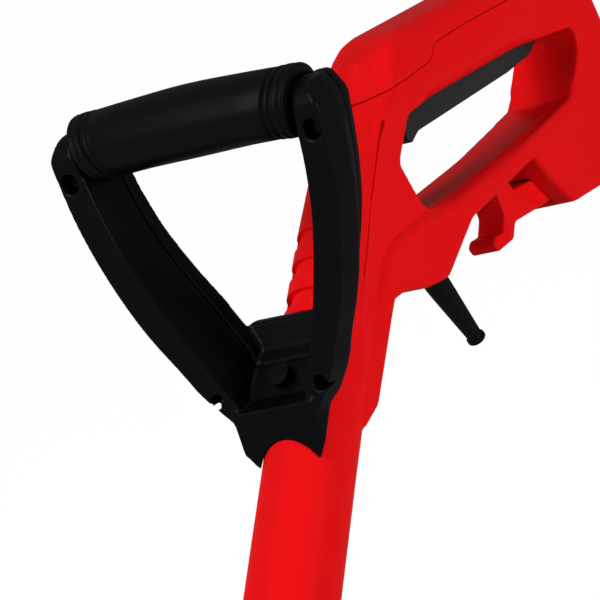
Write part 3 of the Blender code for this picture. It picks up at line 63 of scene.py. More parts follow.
# Lengths are in millimetres from the foot, the point of the shaft's axis under the front handle.
layout = {
    "footX": 195,  # the frame's origin is the middle of the rear grip
    "footZ": -135.5,
    "lean": 43,  # degrees that the shaft leans from upright
    "gap": 0.3,  # between pieces that touch
    "merge": 0.002,  # points closer than this are one
}
lean = math.radians(layout["lean"])
toFrame = Matrix.Translation((layout["footX"] / 1000, 0, layout["footZ"] / 1000)) @ Matrix.Scale(0.001, 4)
shaftTurn = Matrix.Rotation(-lean, 4, "Y")
lieAlongY = Matrix.Rotation(math.pi / 2, 4, "X")


def onShaft(across, along):
    # X and Z of a point that lies across ahead of the shaft's axis, at the station along it.
    return across * math.cos(lean) - along * math.sin(lean), across * math.sin(lean) + along * math.cos(lean)


def offShaft(place):
    # The way back: how far ahead of the axis a point lies, and its station.
    return place.x * math.cos(lean) + place.z * math.sin(lean), place.z * math.cos(lean) - place.x * math.sin(lean)


def readOff(table, value, outside=None):
    # Straight lines between (place, value) rows; beyond them the end rows' values, or the one for outside.
    if outside is not None and not table[0][0] <= value <= table[-1][0]:
        return outside
    value = max(value, table[0][0])
    for (start, first), (end, second) in zip(table, table[1:]):
        if value <= end:
            return first + (second - first) * (value - start) / (end - start)
    return table[-1][1]


# Materials. Sizes and depths are in millimetres, and Object coordinates in metres.

def linear(hexColour):
    parts = [int(hexColour[place : place + 2], 16) / 255 for place in (1, 3, 5)]
    return [part / 12.92 if part <= 0.04045 else ((part + 0.055) / 1.055) ** 2.4 for part in parts] + [1]


def addNode(tree, kind, settings=None, links=None):
    made = tree.nodes.new(kind)
    for name, value in (settings or {}).items():
        if isinstance(name, str) and hasattr(made, name):
            setattr(made, name, value)
        else:
            made.inputs[name].default_value = value
    for name, source in (links or {}).items():
        tree.links.new(source, made.inputs[name])
    return made


def startMaterial(name, settings):
    material = bpy.data.materials.new(name)
    material.use_nodes = True
    tree = material.node_tree
    shader = tree.nodes["Principled BSDF"]
    for socket, value in settings.items():
        shader.inputs[socket].default_value = value
    return material, tree, shader, addNode(tree, "ShaderNodeTexCoord").outputs["Object"]


def blendTones(tree, shader, factor, tones):
    mixed = addNode(tree, "ShaderNodeMix", {"data_type": "RGBA"}, {0: factor})
    mixed.inputs[6].default_value = linear(tones[0])
    mixed.inputs[7].default_value = linear(tones[1])
    tree.links.new(mixed.outputs[2], shader.inputs["Base Color"])


def moulded(name, tones, settings, grain, wave, rough, stretch=(1, 1, 1)):
    # A moulding's colour drifts a little, its faces wave by hundredths and its skin has the tool's grain.
    # grain and wave are (size, depth); the colour drifts over four times the wave's size.
    material, tree, shader, place = startMaterial(name, settings)
    place = addNode(tree, "ShaderNodeMapping", {"Scale": stretch}, {"Vector": place}).outputs["Vector"]
    drift = addNode(tree, "ShaderNodeTexNoise", {"Scale": 250 / wave[0], "Detail": 2}, {"Vector": place})
    blendTones(tree, shader, drift.outputs["Fac"], tones)
    fine = addNode(tree, "ShaderNodeTexNoise", {"Scale": 1000 / grain[0], "Detail": 3}, {"Vector": place})
    broad = addNode(tree, "ShaderNodeTexNoise", {"Scale": 1000 / wave[0], "Detail": 1}, {"Vector": place})
    gloss = addNode(
        tree, "ShaderNodeMapRange", {"To Min": rough[0], "To Max": rough[1]}, {"Value": fine.outputs["Fac"]}
    )
    tree.links.new(gloss.outputs["Result"], shader.inputs["Roughness"])
    low = addNode(tree, "ShaderNodeBump", {"Distance": wave[1] / 1000}, {"Height": broad.outputs["Fac"]})
    high = addNode(
        tree, "ShaderNodeBump", {"Distance": grain[1] / 1000},
        {"Height": fine.outputs["Fac"], "Normal": low.outputs["Normal"]},
    )
    tree.links.new(high.outputs["Normal"], shader.inputs["Normal"])
    tree.links.new(high.outputs["Normal"], shader.inputs["Coat Normal"])
    return material


markDepth, bandDepth = 0.02, 0.2


def worked(name, tones, rough, mark, stretch=(1, 1, 1), turn=(0, 0, 0)):
    # Drawing, grinding or plating leaves marks that run one way and break up the gloss.
    material, tree, shader, place = startMaterial(name, {"Metallic": 1.0})
    place = addNode(
        tree, "ShaderNodeMapping", {"Rotation": turn, "Scale": stretch}, {"Vector": place}
    ).outputs["Vector"]
    marks = addNode(tree, "ShaderNodeTexNoise", {"Scale": 1000 / mark, "Detail": 4}, {"Vector": place})
    blendTones(tree, shader, marks.outputs["Fac"], tones)
    gloss = addNode(
        tree, "ShaderNodeMapRange", {"To Min": rough[0], "To Max": rough[1]}, {"Value": marks.outputs["Fac"]}
    )
    tree.links.new(gloss.outputs["Result"], shader.inputs["Roughness"])
    bump = addNode(tree, "ShaderNodeBump", {"Distance": markDepth / 1000}, {"Height": marks.outputs["Fac"]})
    tree.links.new(bump.outputs["Normal"], shader.inputs["Normal"])
    return material


def banded(name, tones, settings, band, axis):
    # Even bands along one axis: stacked sheets, or turns of wire side by side.
    # At a scale of 1 the wave repeats about 3.2 times in a unit.
    material, tree, shader, place = startMaterial(name, settings)
    bands = addNode(
        tree, "ShaderNodeTexWave",
        {"bands_direction": axis, "Scale": 1000 / band / 3.2, "Distortion": 0.4, "Detail": 2}, {"Vector": place},
    )
    blendTones(tree, shader, bands.outputs["Fac"], tones)
    bump = addNode(tree, "ShaderNodeBump", {"Distance": bandDepth / 1000}, {"Height": bands.outputs["Fac"]})
    tree.links.new(bump.outputs["Normal"], shader.inputs["Normal"])
    return material


finishes = {
    # ABS from a polished tool: clean red, soft broad highlights, a faint orange peel.
    "polishedRedAbs": moulded(
        "polishedRedAbs", ("#EC1014", "#F01417"),
        {"IOR": 1.53, "Specular IOR Level": 0, "Coat Weight": 0.05, "Coat Roughness": 0.22},
        (1.2, 0.002), (16, 0.012), (0.24, 0.30),
    ),
    # Glass-filled nylon from a spark-eroded tool: near black, satin, finely grained.
    "satinBlackNylon": moulded(
        "satinBlackNylon", ("#050406", "#0A090B"),
        {"IOR": 1.53, "Specular IOR Level": 0, "Coat Weight": 0.07, "Coat Roughness": 0.28},
        (0.7, 0.02), (18, 0.02), (0.28, 0.38),
    ),
    # Soft rubber moulded over the cross bar: black, a dull sheen.
    "softGripRubber": moulded(
        "softGripRubber", ("#060607", "#0B0B0C"),
        {"IOR": 1.5, "Specular IOR Level": 0, "Coat Weight": 0.07, "Coat Roughness": 0.36},
        (0.6, 0.02), (12, 0.03), (0.36, 0.46),
    ),
    # Acetal of the trigger and the switch's plunger: dark grey, slightly waxy.
    "waxyGreyAcetal": moulded(
        "waxyGreyAcetal", ("#1C1A1B", "#232122"),
        {"IOR": 1.48, "Specular IOR Level": 0.01, "Coat Weight": 0.15, "Coat Roughness": 0.35},
        (1.0, 0.015), (15, 0.04), (0.36, 0.44),
    ),
    # Flexible PVC of the cord guard and the motor's lead: soft black.
    "flexBlackPvc": moulded(
        "flexBlackPvc", ("#080708", "#0D0C0D"),
        {"IOR": 1.53, "Specular IOR Level": 0, "Coat Weight": 0.08, "Coat Roughness": 0.42},
        (0.9, 0.02), (10, 0.04), (0.42, 0.52),
    ),
    # Filled polyamide of the switch, terminal block and spool: plain mid grey.
    "dullGreyPolyamide": moulded(
        "dullGreyPolyamide", ("#7C7D7E", "#8A8B8B"), {"IOR": 1.53}, (0.8, 0.03), (10, 0.04), (0.46, 0.56)
    ),
    # Polyester film wound round the capacitor: glossy yellow with a ripple.
    "glossyYellowFilm": moulded(
        "glossyYellowFilm", ("#C9A227", "#D6B23A"), {"IOR": 1.6}, (2.0, 0.02), (5, 0.1), (0.22, 0.34)
    ),
    # Pressed carbon of the brushes: black with a soft smear.
    "pressedCarbon": moulded(
        "pressedCarbon", ("#1B1B1D", "#2A2A2C"), {"IOR": 1.8}, (0.4, 0.05), (3, 0.03), (0.40, 0.60)
    ),
    # Extruded nylon line: orange, drawn lengthwise.
    "drawnOrangeNylon": moulded(
        "drawnOrangeNylon", ("#E07A10", "#F08C1E"), {"IOR": 1.53, "Subsurface Weight": 0.2},
        (0.5, 0.01), (6, 0.02), (0.28, 0.36), (1, 0.1, 1),
    ),
    # Zinc plate on screws, pins and bolts: cool grey with a cloudy bloom.
    "zincPlatedSteel": worked("zincPlatedSteel", ("#B9BCC0", "#CFD2D6"), (0.22, 0.38), 1.5),
    # Black oxide on the front handle's screws and bolt: dark, oily, faintly blue.
    "blackOxideSteel": worked("blackOxideSteel", ("#08090A", "#0F1011"), (0.34, 0.48), 1.2),
    # Hardened strip of the line cutter, ground across its edge.
    "groundSteel": worked("groundSteel", ("#A9ABAE", "#C4C6C8"), (0.20, 0.34), 0.4, (1, 1, 12)),
    # Drawn aluminium tube: pale, with draw lines along its length.
    "drawnAluminium": worked(
        "drawnAluminium", ("#C9CACC", "#DCDDDE"), (0.26, 0.40), 0.5, (1, 1, 0.02), (0, lean, 0)
    ),
    # Pressed brass of the brush holders.
    "pressedBrass": worked("pressedBrass", ("#B58A3C", "#C99D4B"), (0.24, 0.40), 1.0),
    # Stacked electrical steel: 1 mm bands, twice the real sheet so that they show.
    "stackedSteelSheet": banded(
        "stackedSteelSheet", ("#55585C", "#7B7F84"), {"Metallic": 1.0, "Roughness": 0.42}, 1.0, "Z"
    ),
    # Enamelled copper wire in even 0.9 mm turns.
    "enamelledCopper": banded(
        "enamelledCopper", ("#7E3D1E", "#B8683A"), {"Metallic": 0.9, "Roughness": 0.30}, 0.9, "Z"
    ),
}
carriedFinish = {
    "polishedRedAbs": ("body_shell_left", "body_shell_right", "top_cover", "cord_hook", "motor_housing"),
    "satinBlackNylon": (
        "front_handle_front", "front_handle_rear", "bearing_plate", "debris_guard", "spool_hub", "hub_cover",
        "tap_knob", "cooling_fan",
    ),
    "waxyGreyAcetal": ("trigger", "switch_plunger"),
    "dullGreyPolyamide": ("switch_body", "terminal_block", "line_spool"),
    "softGripRubber": ("front_grip_sleeve",),
    "flexBlackPvc": ("cord_guard", "motor_lead"),
    "glossyYellowFilm": ("capacitor",),
    "groundSteel": ("line_cutter",),
    "blackOxideSteel": (
        "front_handle_screw_upper_left", "front_handle_screw_upper_right", "front_handle_screw_lower_left",
        "front_handle_screw_lower_right", "handle_clamp_bolt",
    ),
    "stackedSteelSheet": ("stator_core", "rotor_core"),
    "drawnAluminium": ("shaft_tube",),
    "enamelledCopper": ("field_windings", "rotor_windings", "commutator"),
    "pressedBrass": ("brush_holder_left", "brush_holder_right"),
    "pressedCarbon": ("carbon_brush_left", "carbon_brush_right"),
    "drawnOrangeNylon": ("cutting_line_left", "cutting_line_right", "wound_line"),
}
finishOf = {node: finish for finish, nodes in carriedFinish.items() for node in nodes}
for node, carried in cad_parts.items():
    carried.data.materials.clear()
    carried.data.materials.append(finishes[finishOf.get(node, "zincPlatedSteel")])
print("materials made:", len(finishes))


# Modelling helpers

def flatFace(work, corners, plane="XZ"):
    # One flat face from (first, second, radius) corners; a bevel rounds each corner that has a radius.
    places = [Vector(corner[:2]) for corner in corners]
    points = [work.verts.new((place.x, 0, place.y) if plane == "XZ" else (0, place.x, place.y)) for place in places]
    work.faces.new(points)
    for index, point in enumerate(points):
        radius = corners[index][2] if len(corners[index]) > 2 else 0
        if radius:
            before = (places[index] - places[index - 1]).normalized()
            after = (places[(index + 1) % len(places)] - places[index]).normalized()
            reach = radius * math.tan(before.angle(after) / 2)
            bmesh.ops.bevel(
                work, geom=[point], offset=reach, offset_type="OFFSET", segments=8, profile=0.5,
                affect="VERTICES", material=-1,
            )
    return work.faces[:]


def slab(corners, low, high, plane="XZ", layers=()):
    # The flat face drawn out from low to high, with a ring of edges at each layer between.
    work = bmesh.new()
    faces = flatFace(work, corners, plane)
    way = Vector((0, 1, 0)) if plane == "XZ" else Vector((1, 0, 0))
    bmesh.ops.translate(work, vec=way * low, verts=work.verts)
    reached = low
    for stop in (*layers, high):
        grown = bmesh.ops.extrude_face_region(work, geom=faces)["geom"]
        faces = [item for item in grown if isinstance(item, bmesh.types.BMFace)]
        moved = [item for item in grown if isinstance(item, bmesh.types.BMVert)]
        bmesh.ops.translate(work, vec=way * (stop - reached), verts=moved)
        reached = stop
    inside = [face for face in work.faces if all(len(edge.link_faces) > 2 for edge in face.edges)]
    if inside:
        bmesh.ops.delete(work, geom=inside, context="FACES")
    bmesh.ops.recalc_face_normals(work, faces=work.faces)
    return work


def turned(profile, steps, turn, closed=False):
    # (radius, height) points spun about Z, then laid where they belong.
    work = bmesh.new()
    points = [work.verts.new((radius, 0, height)) for radius, height in profile]
    edges = [work.edges.new(pair) for pair in zip(points, points[1:])]
    if closed:
        edges.append(work.edges.new((points[-1], points[0])))
    bmesh.ops.spin(
        work, geom=points + edges, cent=(0, 0, 0), axis=(0, 0, 1), dvec=(0, 0, 0), angle=math.tau,
        steps=steps, use_merge=True, use_duplicate=False,
    )
    bmesh.ops.remove_doubles(work, verts=work.verts, dist=layout["merge"])
    bmesh.ops.transform(work, matrix=turn, verts=work.verts)
    bmesh.ops.recalc_face_normals(work, faces=work.faces)
    return work


def block(low, high, turn=None):
    work = bmesh.new()
    bmesh.ops.create_cube(work, size=1)
    bmesh.ops.scale(work, vec=Vector(high) - Vector(low), verts=work.verts)
    bmesh.ops.translate(work, vec=(Vector(high) + Vector(low)) / 2, verts=work.verts)
    if turn:
        bmesh.ops.transform(work, matrix=turn, verts=work.verts)
    return work


def roundEdges(work, edges, offset, segments):
    bmesh.ops.bevel(
        work, geom=edges, offset=offset, offset_type="OFFSET", segments=segments, profile=0.5,
        affect="EDGES", material=-1, clamp_overlap=True,
    )


def hardEdges(work, limit=35):
    edges = [edge for edge in work.edges if len(edge.link_faces) == 2]
    return [edge for edge in edges if edge.calc_face_angle() > math.radians(limit)]


def copyOfNode(node):
    # A carried solid in millimetres, its loose triangles merged.
    work = bmesh.new()
    work.from_mesh(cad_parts[node].data)
    bmesh.ops.transform(work, matrix=toFrame.inverted(), verts=work.verts)
    bmesh.ops.remove_doubles(work, verts=work.verts, dist=layout["merge"])
    return work


def asPiece(work, name="shape"):
    mesh = bpy.data.meshes.new(name)
    work.to_mesh(mesh)
    work.free()
    piece = bpy.data.objects.new(name, mesh)
    bpy.context.scene.collection.objects.link(piece)
    return piece


def applied(piece):
    bpy.context.view_layer.update()
    mesh = bpy.data.meshes.new_from_object(piece.evaluated_get(bpy.context.evaluated_depsgraph_get()))
    piece.modifiers.clear()
    piece.data = mesh
    return piece


def carve(piece, tool, operation="DIFFERENCE", solver="EXACT"):
    # Cuts, joins or keeps with the tool, then clears the tool away.
    tool = asPiece(tool, "tool") if isinstance(tool, bmesh.types.BMesh) else tool
    step = piece.modifiers.new("carve", "BOOLEAN")
    step.operation = operation
    step.solver = solver
    step.object = tool
    applied(piece)
    bpy.data.objects.remove(tool)
    return piece


def softened(piece, voxel, passes):
    # A moulding's small radii on every edge.
    remesh = piece.modifiers.new("remesh", "REMESH")
    remesh.mode = "VOXEL"
    remesh.voxel_size = voxel
    smooth = piece.modifiers.new("smooth", "SMOOTH")
    smooth.factor, smooth.iterations = 0.5, passes
    return applied(piece)


def smoothWhere(piece, chosen, passes):
    # More rounding on the broad curves alone.
    group = piece.vertex_groups.new(name="broad")
    group.add([point.index for point in piece.data.vertices if chosen(point.co)], 1.0, "REPLACE")
    smooth = piece.modifiers.new("broad", "SMOOTH")
    smooth.factor, smooth.iterations, smooth.vertex_group = 0.5, passes, "broad"
    applied(piece)
    piece.vertex_groups.clear()
    return piece


def showPiece(piece, name, body, finish, replaced, sharp=None):
    piece.name = name
    piece.data.name = name
    piece.data.transform(toFrame)
    piece.data.materials.clear()
    piece.data.materials.append(finishes[finish])
    piece.data.shade_smooth()
    if sharp:
        piece.data.set_sharp_from_angle(angle=math.radians(sharp))
    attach(piece, body)
    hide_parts(*replaced)
    print(name, len(piece.data.polygons), "faces")
    return piece


# The camera, fitted to the photograph's vanishing lines and outlines

shot = {
    "sensor": 36,
    "lens": 311.1,
    "clipEnd": 100,
    "matrix": (  # its columns are right, up, back and place, in metres
        (-0.51788, -0.31675, 0.79465, 1.92338),
        (0.79555, 0.16316, 0.58351, 1.29161),
        (-0.31448, 0.93437, 0.16749, 0.29966),
        (0, 0, 0, 1),
    ),
}
camera = bpy.data.objects.new("camera", bpy.data.cameras.new("camera"))
camera.data.sensor_width = shot["sensor"]
camera.data.lens = shot["lens"]
camera.data.clip_end = shot["clipEnd"]
camera.matrix_world = Matrix(shot["matrix"])
bpy.context.scene.collection.objects.link(camera)
bpy.context.scene.camera = camera
print("camera set")


# Body shells and top cover

body = {
    "voxel": 1.12,
    "coverVoxel": 0.9,
    "passes": 3,
    "rackPasses": 1,
    "rimPasses": 8,
    "halfWidth": 18.7,
    "seam": 0.02,  # the shells close tightly along the middle
    "spare": (1.6, 1.5),  # softened faces stand this far past the middle and the cover's seam until they are cut
    "frontRound": 10,
    "noseRound": 34,
    "frontLine": 7.5,  # the front face's distance ahead of the shaft's axis
    "frontFrom": 50,  # and the station where it starts
    "topHeight": 151.8,
    "topUntil": -85,
    "middle": 4,  # nothing is rounded this close to the middle
    "skin": 1.2,  # points this close to a face belong to it
    "coverSeam": [  # where the cover meets the shells
        (-320, 138.5), (-190.5, 139.6), (-162.7, 138.5), (-156.6, 133.7), (-153.1, 132.1), (-110, 129), (-80, 129),
    ],
    "coverGap": 0.5,
    "shaft": [  # (station, radius) up the outside of the shaft
        (-205, 22.2), (-191, 22.2), (-189, 21.4), (0, 20), (62, 20), (104.3, 18.8), (179, 14.1),
    ],
    "facet": 0.35,  # the solid's facets lie no further from the true round
}
loop = {  # the flank round the finger loop
    "from": (-276, 20),
    "to": (-40, 130),
    "wall": 9.5,  # only the wall this near the flank is shaped
    "barEdge": [  # the lower bar's upper edge, running on over the flank as a shoulder
        (-262, 89.5), (-192, 77.6), (-145, 74.1), (-120, 73.4), (-112.3, 72.7), (-100.7, 72.2), (-90, 71.2),
        (-81.3, 68.6), (-74.9, 65.2), (-70, 61), (-66, 57), (-60.8, 52), (-52.5, 42), (-46, 32),
    ],
    "barRound": (6, 9),  # down the flank, in over the top face
    "barReach": -2.5,  # points this far past the edge still follow it
    "barFront": -119.5,
    "barShrink": 0.7,
    "barTop": [(-262, 83.689), (-145, 70), (-110, 70)],  # the top face of the solid's bar
    "barTopReach": (-2.2, 4.6),
    "lift": [(-262, 0), (-235, 4)],
    "forward": [(-128, 0), (-118, 1.25)],
    "gripUnder": [(-276, 113.5), (-230, 116.6), (-130, 116.2)],
    "gripRound": (11, 8),
    "gripReach": -1,
    "gripShrink": 0.8,
    "rear": -262,
    "rearFade": (236, 258),  # both roundings shrink towards the loop's rear end
    "frontFade": (-156, -131),  # and the grip's towards its front end
    "passes": 8,
    "softFront": -121,
    "softBar": (-3, 7.5),  # what those passes reach, from the bar's edge down
    "softGrip": (112.5, 129),  # and by height under the grip
    "softWall": 10,
    "shoulder": 4,
    "panelFront": -135,
    "panelWall": 6,
    "panelRecess": 2.7,
    "panelFades": (34, 54, 110, 124),  # heights between which the panel sinks in and comes out
    "groove": {"depth": 0.8, "across": (2.0, 3.8), "along": (84, 160)},
}
rack = {
    "high": 104.3, "pitch": 14.8, "groove": 7.2, "spread": (0.4, 0.2), "floor": 17.3, "count": 5, "front": 8,
    "across": 6, "along": (30, 108),  # where the rack is, ahead of the axis
    "filled": 17.2,  # softened teeth between this radius and the round are filled out
}


def onRack(place):
    # The front of the shaft where the rack's teeth and grooves are.
    across, along = offShaft(place)
    return across > rack["across"] and rack["along"][0] < along < rack["along"][1]


def trueShaft(piece):
    # The shaft's facets, and the rack with them, go back to the true round.
    for point in piece.data.vertices:
        across, along = offShaft(point.co)
        wanted, radius = readOff(body["shaft"], along, 0), math.hypot(across, point.co.y)
        blurred = onRack(point.co) and rack["filled"] < radius < wanted
        if wanted and (abs(radius - wanted) < body["facet"] or blurred):
            x, z = onShaft(across * wanted / radius, along)
            point.co = (x, point.co.y * wanted / radius, z)
    return piece


noseAcross = body["frontLine"] - body["noseRound"]
noseZ = body["topHeight"] - body["noseRound"]
noseX = (noseAcross - noseZ * math.sin(lean)) / math.cos(lean)


def onBroadRim(place):
    # Outer faces near the front and top rims; depth is how far inside the outline, side how far inside the flank.
    across, along = offShaft(place)
    depth = min(
        body["frontLine"] - across if along > body["frontFrom"] else 99,
        body["topHeight"] - place.z if place.x < body["topUntil"] else 99,
    )
    if across > noseAcross and place.z > noseZ:
        depth = body["noseRound"] - math.hypot(place.x - noseX, place.z - noseZ)
    side, rim, skin = body["halfWidth"] - abs(place.y), body["frontRound"], body["skin"]
    if abs(place.y) < body["middle"] or depth > rim + 3:
        return False
    return min(depth, side) < skin or depth < rim and side < rim and math.hypot(rim - depth, rim - side) > rim - skin


def seamTool(above):
    # Everything over or under the cover's seam, half a gap away from it.
    shift = body["coverGap"] / 2 * (1 if above else -1)
    line = [(x, z + shift) for x, z in body["coverSeam"]]
    far = 400 if above else -400
    return slab([(-400, far), (-400, line[0][1]), *line[1:-1], (400, line[-1][1]), (400, far)], -60, 60)


def liftBar(work):
    # The loop's lower bar has its top face a little higher than the solid's.
    for point in work.verts:
        x = point.co.x
        above = point.co.z - readOff(loop["barTop"], x, 1000)
        if loop["barTopReach"][0] < above < loop["barTopReach"][1]:
            point.co.z += readOff(loop["lift"], x)
            point.co.x += readOff(loop["forward"], x)
    return work


def belowBarEdge(x, z):
    # Distance below the bar's edge line, less than nothing above it.
    best, side = 1e9, 1
    for (startX, startZ), (endX, endZ) in zip(loop["barEdge"], loop["barEdge"][1:]):
        alongX, alongZ = endX - startX, endZ - startZ
        share = ((x - startX) * alongX + (z - startZ) * alongZ) / (alongX ** 2 + alongZ ** 2)
        share = min(max(share, 0), 1)
        gapX, gapZ = x - startX - share * alongX, z - startZ - share * alongZ
        distance = math.hypot(gapX, gapZ)
        if distance < best:
            best, side = distance, 1 if alongX * gapZ - alongZ * gapX < 0 else -1
    return best * side


def ease(value, start, end):
    # 0 before start, 1 after end, and a smooth change between.
    share = min(max((value - start) / (end - start), 0), 1)
    return share * share * (3 - 2 * share)


def roundedCorner(depth, inward, size):
    # Lays the square corner between two faces on a quarter of an ellipse, the inner wall with it.
    first, second = (size[0] - depth) / size[0], (size[1] - inward) / size[1]
    if min(first, second) <= 0:
        return depth, inward
    scale = max(first, second) / math.hypot(first, second)
    return size[0] * (1 - first * scale), size[1] * (1 - second * scale)


def panelDepth(place, below):
    # How far the panel lies in at a point, its shoulder an arc, and how far the front rim's rounding does.
    bend, rim = loop["shoulder"], body["frontRound"]
    sink, sunk, rise, risen = loop["panelFades"]
    arc = bend - math.sqrt(bend ** 2 - (bend - below) ** 2) if below > 0 else bend
    depth = loop["panelRecess"] * ease(place.z, sink, sunk) * (1 - ease(place.z, rise, risen))
    front = rim - (body["frontLine"] - offShaft(place)[0])
    outer = rim - math.sqrt(rim ** 2 - min(front, rim) ** 2) if front > 0 else 0
    return max(0, min(arc, depth) - outer), outer


def shapeFlank(piece):
    # Rounds the bar's top and the grip's underside, and sets the panel between them behind a shoulder.
    (lowX, lowZ), (highX, highZ) = loop["from"], loop["to"]
    for point in piece.data.vertices:
        x, y, z = point.co
        inward, way = body["halfWidth"] - abs(y), math.copysign(1, y)
        if inward > loop["wall"] or not (lowZ < z < highZ and lowX < x < highX):
            continue
        below, under = belowBarEdge(x, z), z - readOff(loop["gripUnder"], x, 1000)
        rearward = ease(-x, *loop["rearFade"])
        if loop["gripReach"] < under < loop["gripRound"][0] and x > loop["rear"]:
            share = (1 - loop["gripShrink"] * ease(x, *loop["frontFade"])) * (1 - loop["gripShrink"] * rearward)
            newUnder, newInward = roundedCorner(under, inward, [length * share for length in loop["gripRound"]])
            point.co.z += newUnder - under
            point.co.y -= way * (newInward - inward)
        elif x < loop["barFront"] and loop["barReach"] < below < loop["barRound"][0]:
            share = 1 - loop["barShrink"] * rearward
            newBelow, newInward = roundedCorner(below, inward, [length * share for length in loop["barRound"]])
            point.co.z -= newBelow - below
            point.co.y -= way * (newInward - inward)
        elif x > loop["panelFront"] and below < loop["shoulder"] and inward < loop["panelWall"]:
            push, outer = panelDepth(point.co, below)
            point.co.y -= way * push * min(1, max(0, 1 - (inward - outer) / loop["panelWall"]))
    return piece


def onLoopRound(place):
    # The broad roundings over and under the loop.
    if body["halfWidth"] - abs(place.y) > loop["softWall"] or not loop["rear"] < place.x < loop["softFront"]:
        return False
    (above, below), (low, high) = loop["softBar"], loop["softGrip"]
    return above < belowBarEdge(place.x, place.z) < below or low < place.z < high


def panelGroove(sign):
    # The fine groove between the panel and the front rim.
    groove = loop["groove"]
    (rear, front), (low, high) = groove["across"], groove["along"]
    near, far = sorted(((body["halfWidth"] - loop["panelRecess"] - groove["depth"]) * sign, 30 * sign))
    return slab([onShaft(front, low), onShaft(front, high), onShaft(rear, high), onShaft(rear, low)], near, far)


def rackTool(index):
    # One groove of the rack, cut again with crisp edges after the softening.
    below, above = rack["spread"]
    high = rack["high"] - index * rack["pitch"] + above
    low, floor = high - rack["groove"] - below, rack["floor"]
    ring = asPiece(turned([(floor, low), (24, low), (24, high), (floor, high)], 96, shaftTurn, closed=True), "ring")
    return carve(ring, block((rack["front"], -40, -300), (40, 40, 300), shaftTurn), "INTERSECT", "MANIFOLD")


spareMiddle, spareSeam = body["spare"]
for side, sign in (("left", 1), ("right", -1)):
    work = liftBar(copyOfNode("body_shell_" + side))
    for point in work.verts:
        if abs(point.co.y) < 0.2:
            point.co.y = -spareMiddle * sign
        if abs(point.co.z - readOff(body["coverSeam"], point.co.x, 1000)) < 0.06:
            point.co.z += spareSeam
    shell = softened(asPiece(work), body["voxel"], body["rackPasses"])
    smoothWhere(shell, lambda place: not onRack(place), body["passes"])
    smoothWhere(shell, onBroadRim, body["rimPasses"])
    trueShaft(shell)
    shapeFlank(shell)
    smoothWhere(shell, onLoopRound, loop["passes"])
    for index in range(rack["count"]):
        carve(shell, rackTool(index), "DIFFERENCE", "MANIFOLD")
    carve(shell, panelGroove(sign), "DIFFERENCE", "MANIFOLD")
    carve(shell, seamTool(False), "INTERSECT", "MANIFOLD")
    near, far = sorted((body["seam"] * sign, 60 * sign))
    carve(shell, block((-400, near, -400), (400, far, 400)), "INTERSECT", "MANIFOLD")
    name, node = "bodyShell" + side.capitalize(), "body_shell_" + side
    showPiece(shell, name, "body", "polishedRedAbs", [node], 40)

work = copyOfNode("top_cover")
for point in work.verts:  # the cover's edge lies just over the shells' edge
    if abs(point.co.z - readOff(body["coverSeam"], point.co.x - 0.24, 1000) - 0.3) < 0.06:
        point.co.z -= spareSeam
cover = softened(asPiece(work), body["coverVoxel"], body["passes"])
smoothWhere(cover, onBroadRim, body["rimPasses"])
carve(cover, seamTool(True), "INTERSECT", "MANIFOLD")
showPiece(cover, "topCover", "body", "polishedRedAbs", ["top_cover"])

# Cord hook

hook = {
    "outline": [
        (-252, 56.2), (-202.6, 58.5, 1.2), (-200, 64), (-188.5, 62.2), (-189.2, 50.5, 3),
        (-184, 44, 2), (-177, 44, 2), (-173.5, 41.5, 2), (-176, 37.2, 2), (-190.5, 38.5, 4),
        (-196, 45, 4), (-252, 44.5),
    ],
    "halfWidth": 7.5,
    "edge": 1.1,
}
work = slab(hook["outline"], -hook["halfWidth"], hook["halfWidth"])
roundEdges(work, hardEdges(work), hook["edge"], 4)
showPiece(asPiece(work), "cordHook", "body", "polishedRedAbs", ["cord_hook"], 35)

# Cord guard

guard = {
    "start": (-131.5, 38.3),
    "along": (-0.4535, -0.8912),
    "length": 36.5,
    "rootRadius": 5.8,
    "tipRadius": 3.6,
    "bore": 2.4,
    "flange": 13.8,
}
guardTurn = Vector((guard["along"][0], 0, guard["along"][1])).to_track_quat("Z", "Y").to_matrix().to_4x4()
guardTurn = Matrix.Translation((guard["start"][0], 0, guard["start"][1])) @ guardTurn
length, root, tip, flange = guard["length"], guard["rootRadius"], guard["tipRadius"], guard["flange"]
profile = [
    (guard["bore"], -flange - 2.5), (root + 2.2, -flange - 2.5), (root + 2.2, -flange), (root, -flange),
    (root, 1), (root - 0.15, 4), (tip + 0.2, length - 6), (tip, length - 3.2), (tip + 0.15, length - 2.6),
    (tip + 0.75, length - 2.2), (tip + 0.8, length - 1.8), (tip + 0.8, length - 0.5), (tip + 0.4, length),
    (guard["bore"] + 0.4, length), (guard["bore"], length - 0.5),
]
showPiece(
    asPiece(turned(profile, 64, guardTurn, closed=True)), "cordGuard", "body", "flexBlackPvc",
    ["cord_guard"], 40,
)

# Trigger

trigger = {
    "outline": [
        (-136.5, 122, 2), (-136.5, 103, 2), (-139.4, 100.8, 1.5), (-146.8, 104.2, 6), (-230, 106.8, 60),
        (-252, 109, 20), (-262.5, 114, 3), (-262.5, 123.5, 3),
    ],
    "halfWidth": 6.1,
    "edge": 1.8,
    "edgeTop": 116.5,  # the edges inside the grip stay square
}
work = slab(trigger["outline"], -trigger["halfWidth"], trigger["halfWidth"])
fingerEdges = [edge for edge in hardEdges(work, 60) if max(end.co.z for end in edge.verts) < trigger["edgeTop"]]
roundEdges(work, fingerEdges, trigger["edge"], 5)
showPiece(asPiece(work), "triggerLever", "trigger", "waxyGreyAcetal", ["trigger"], 35)

# Front handle: two arms and a foot, parted into a front and a rear half

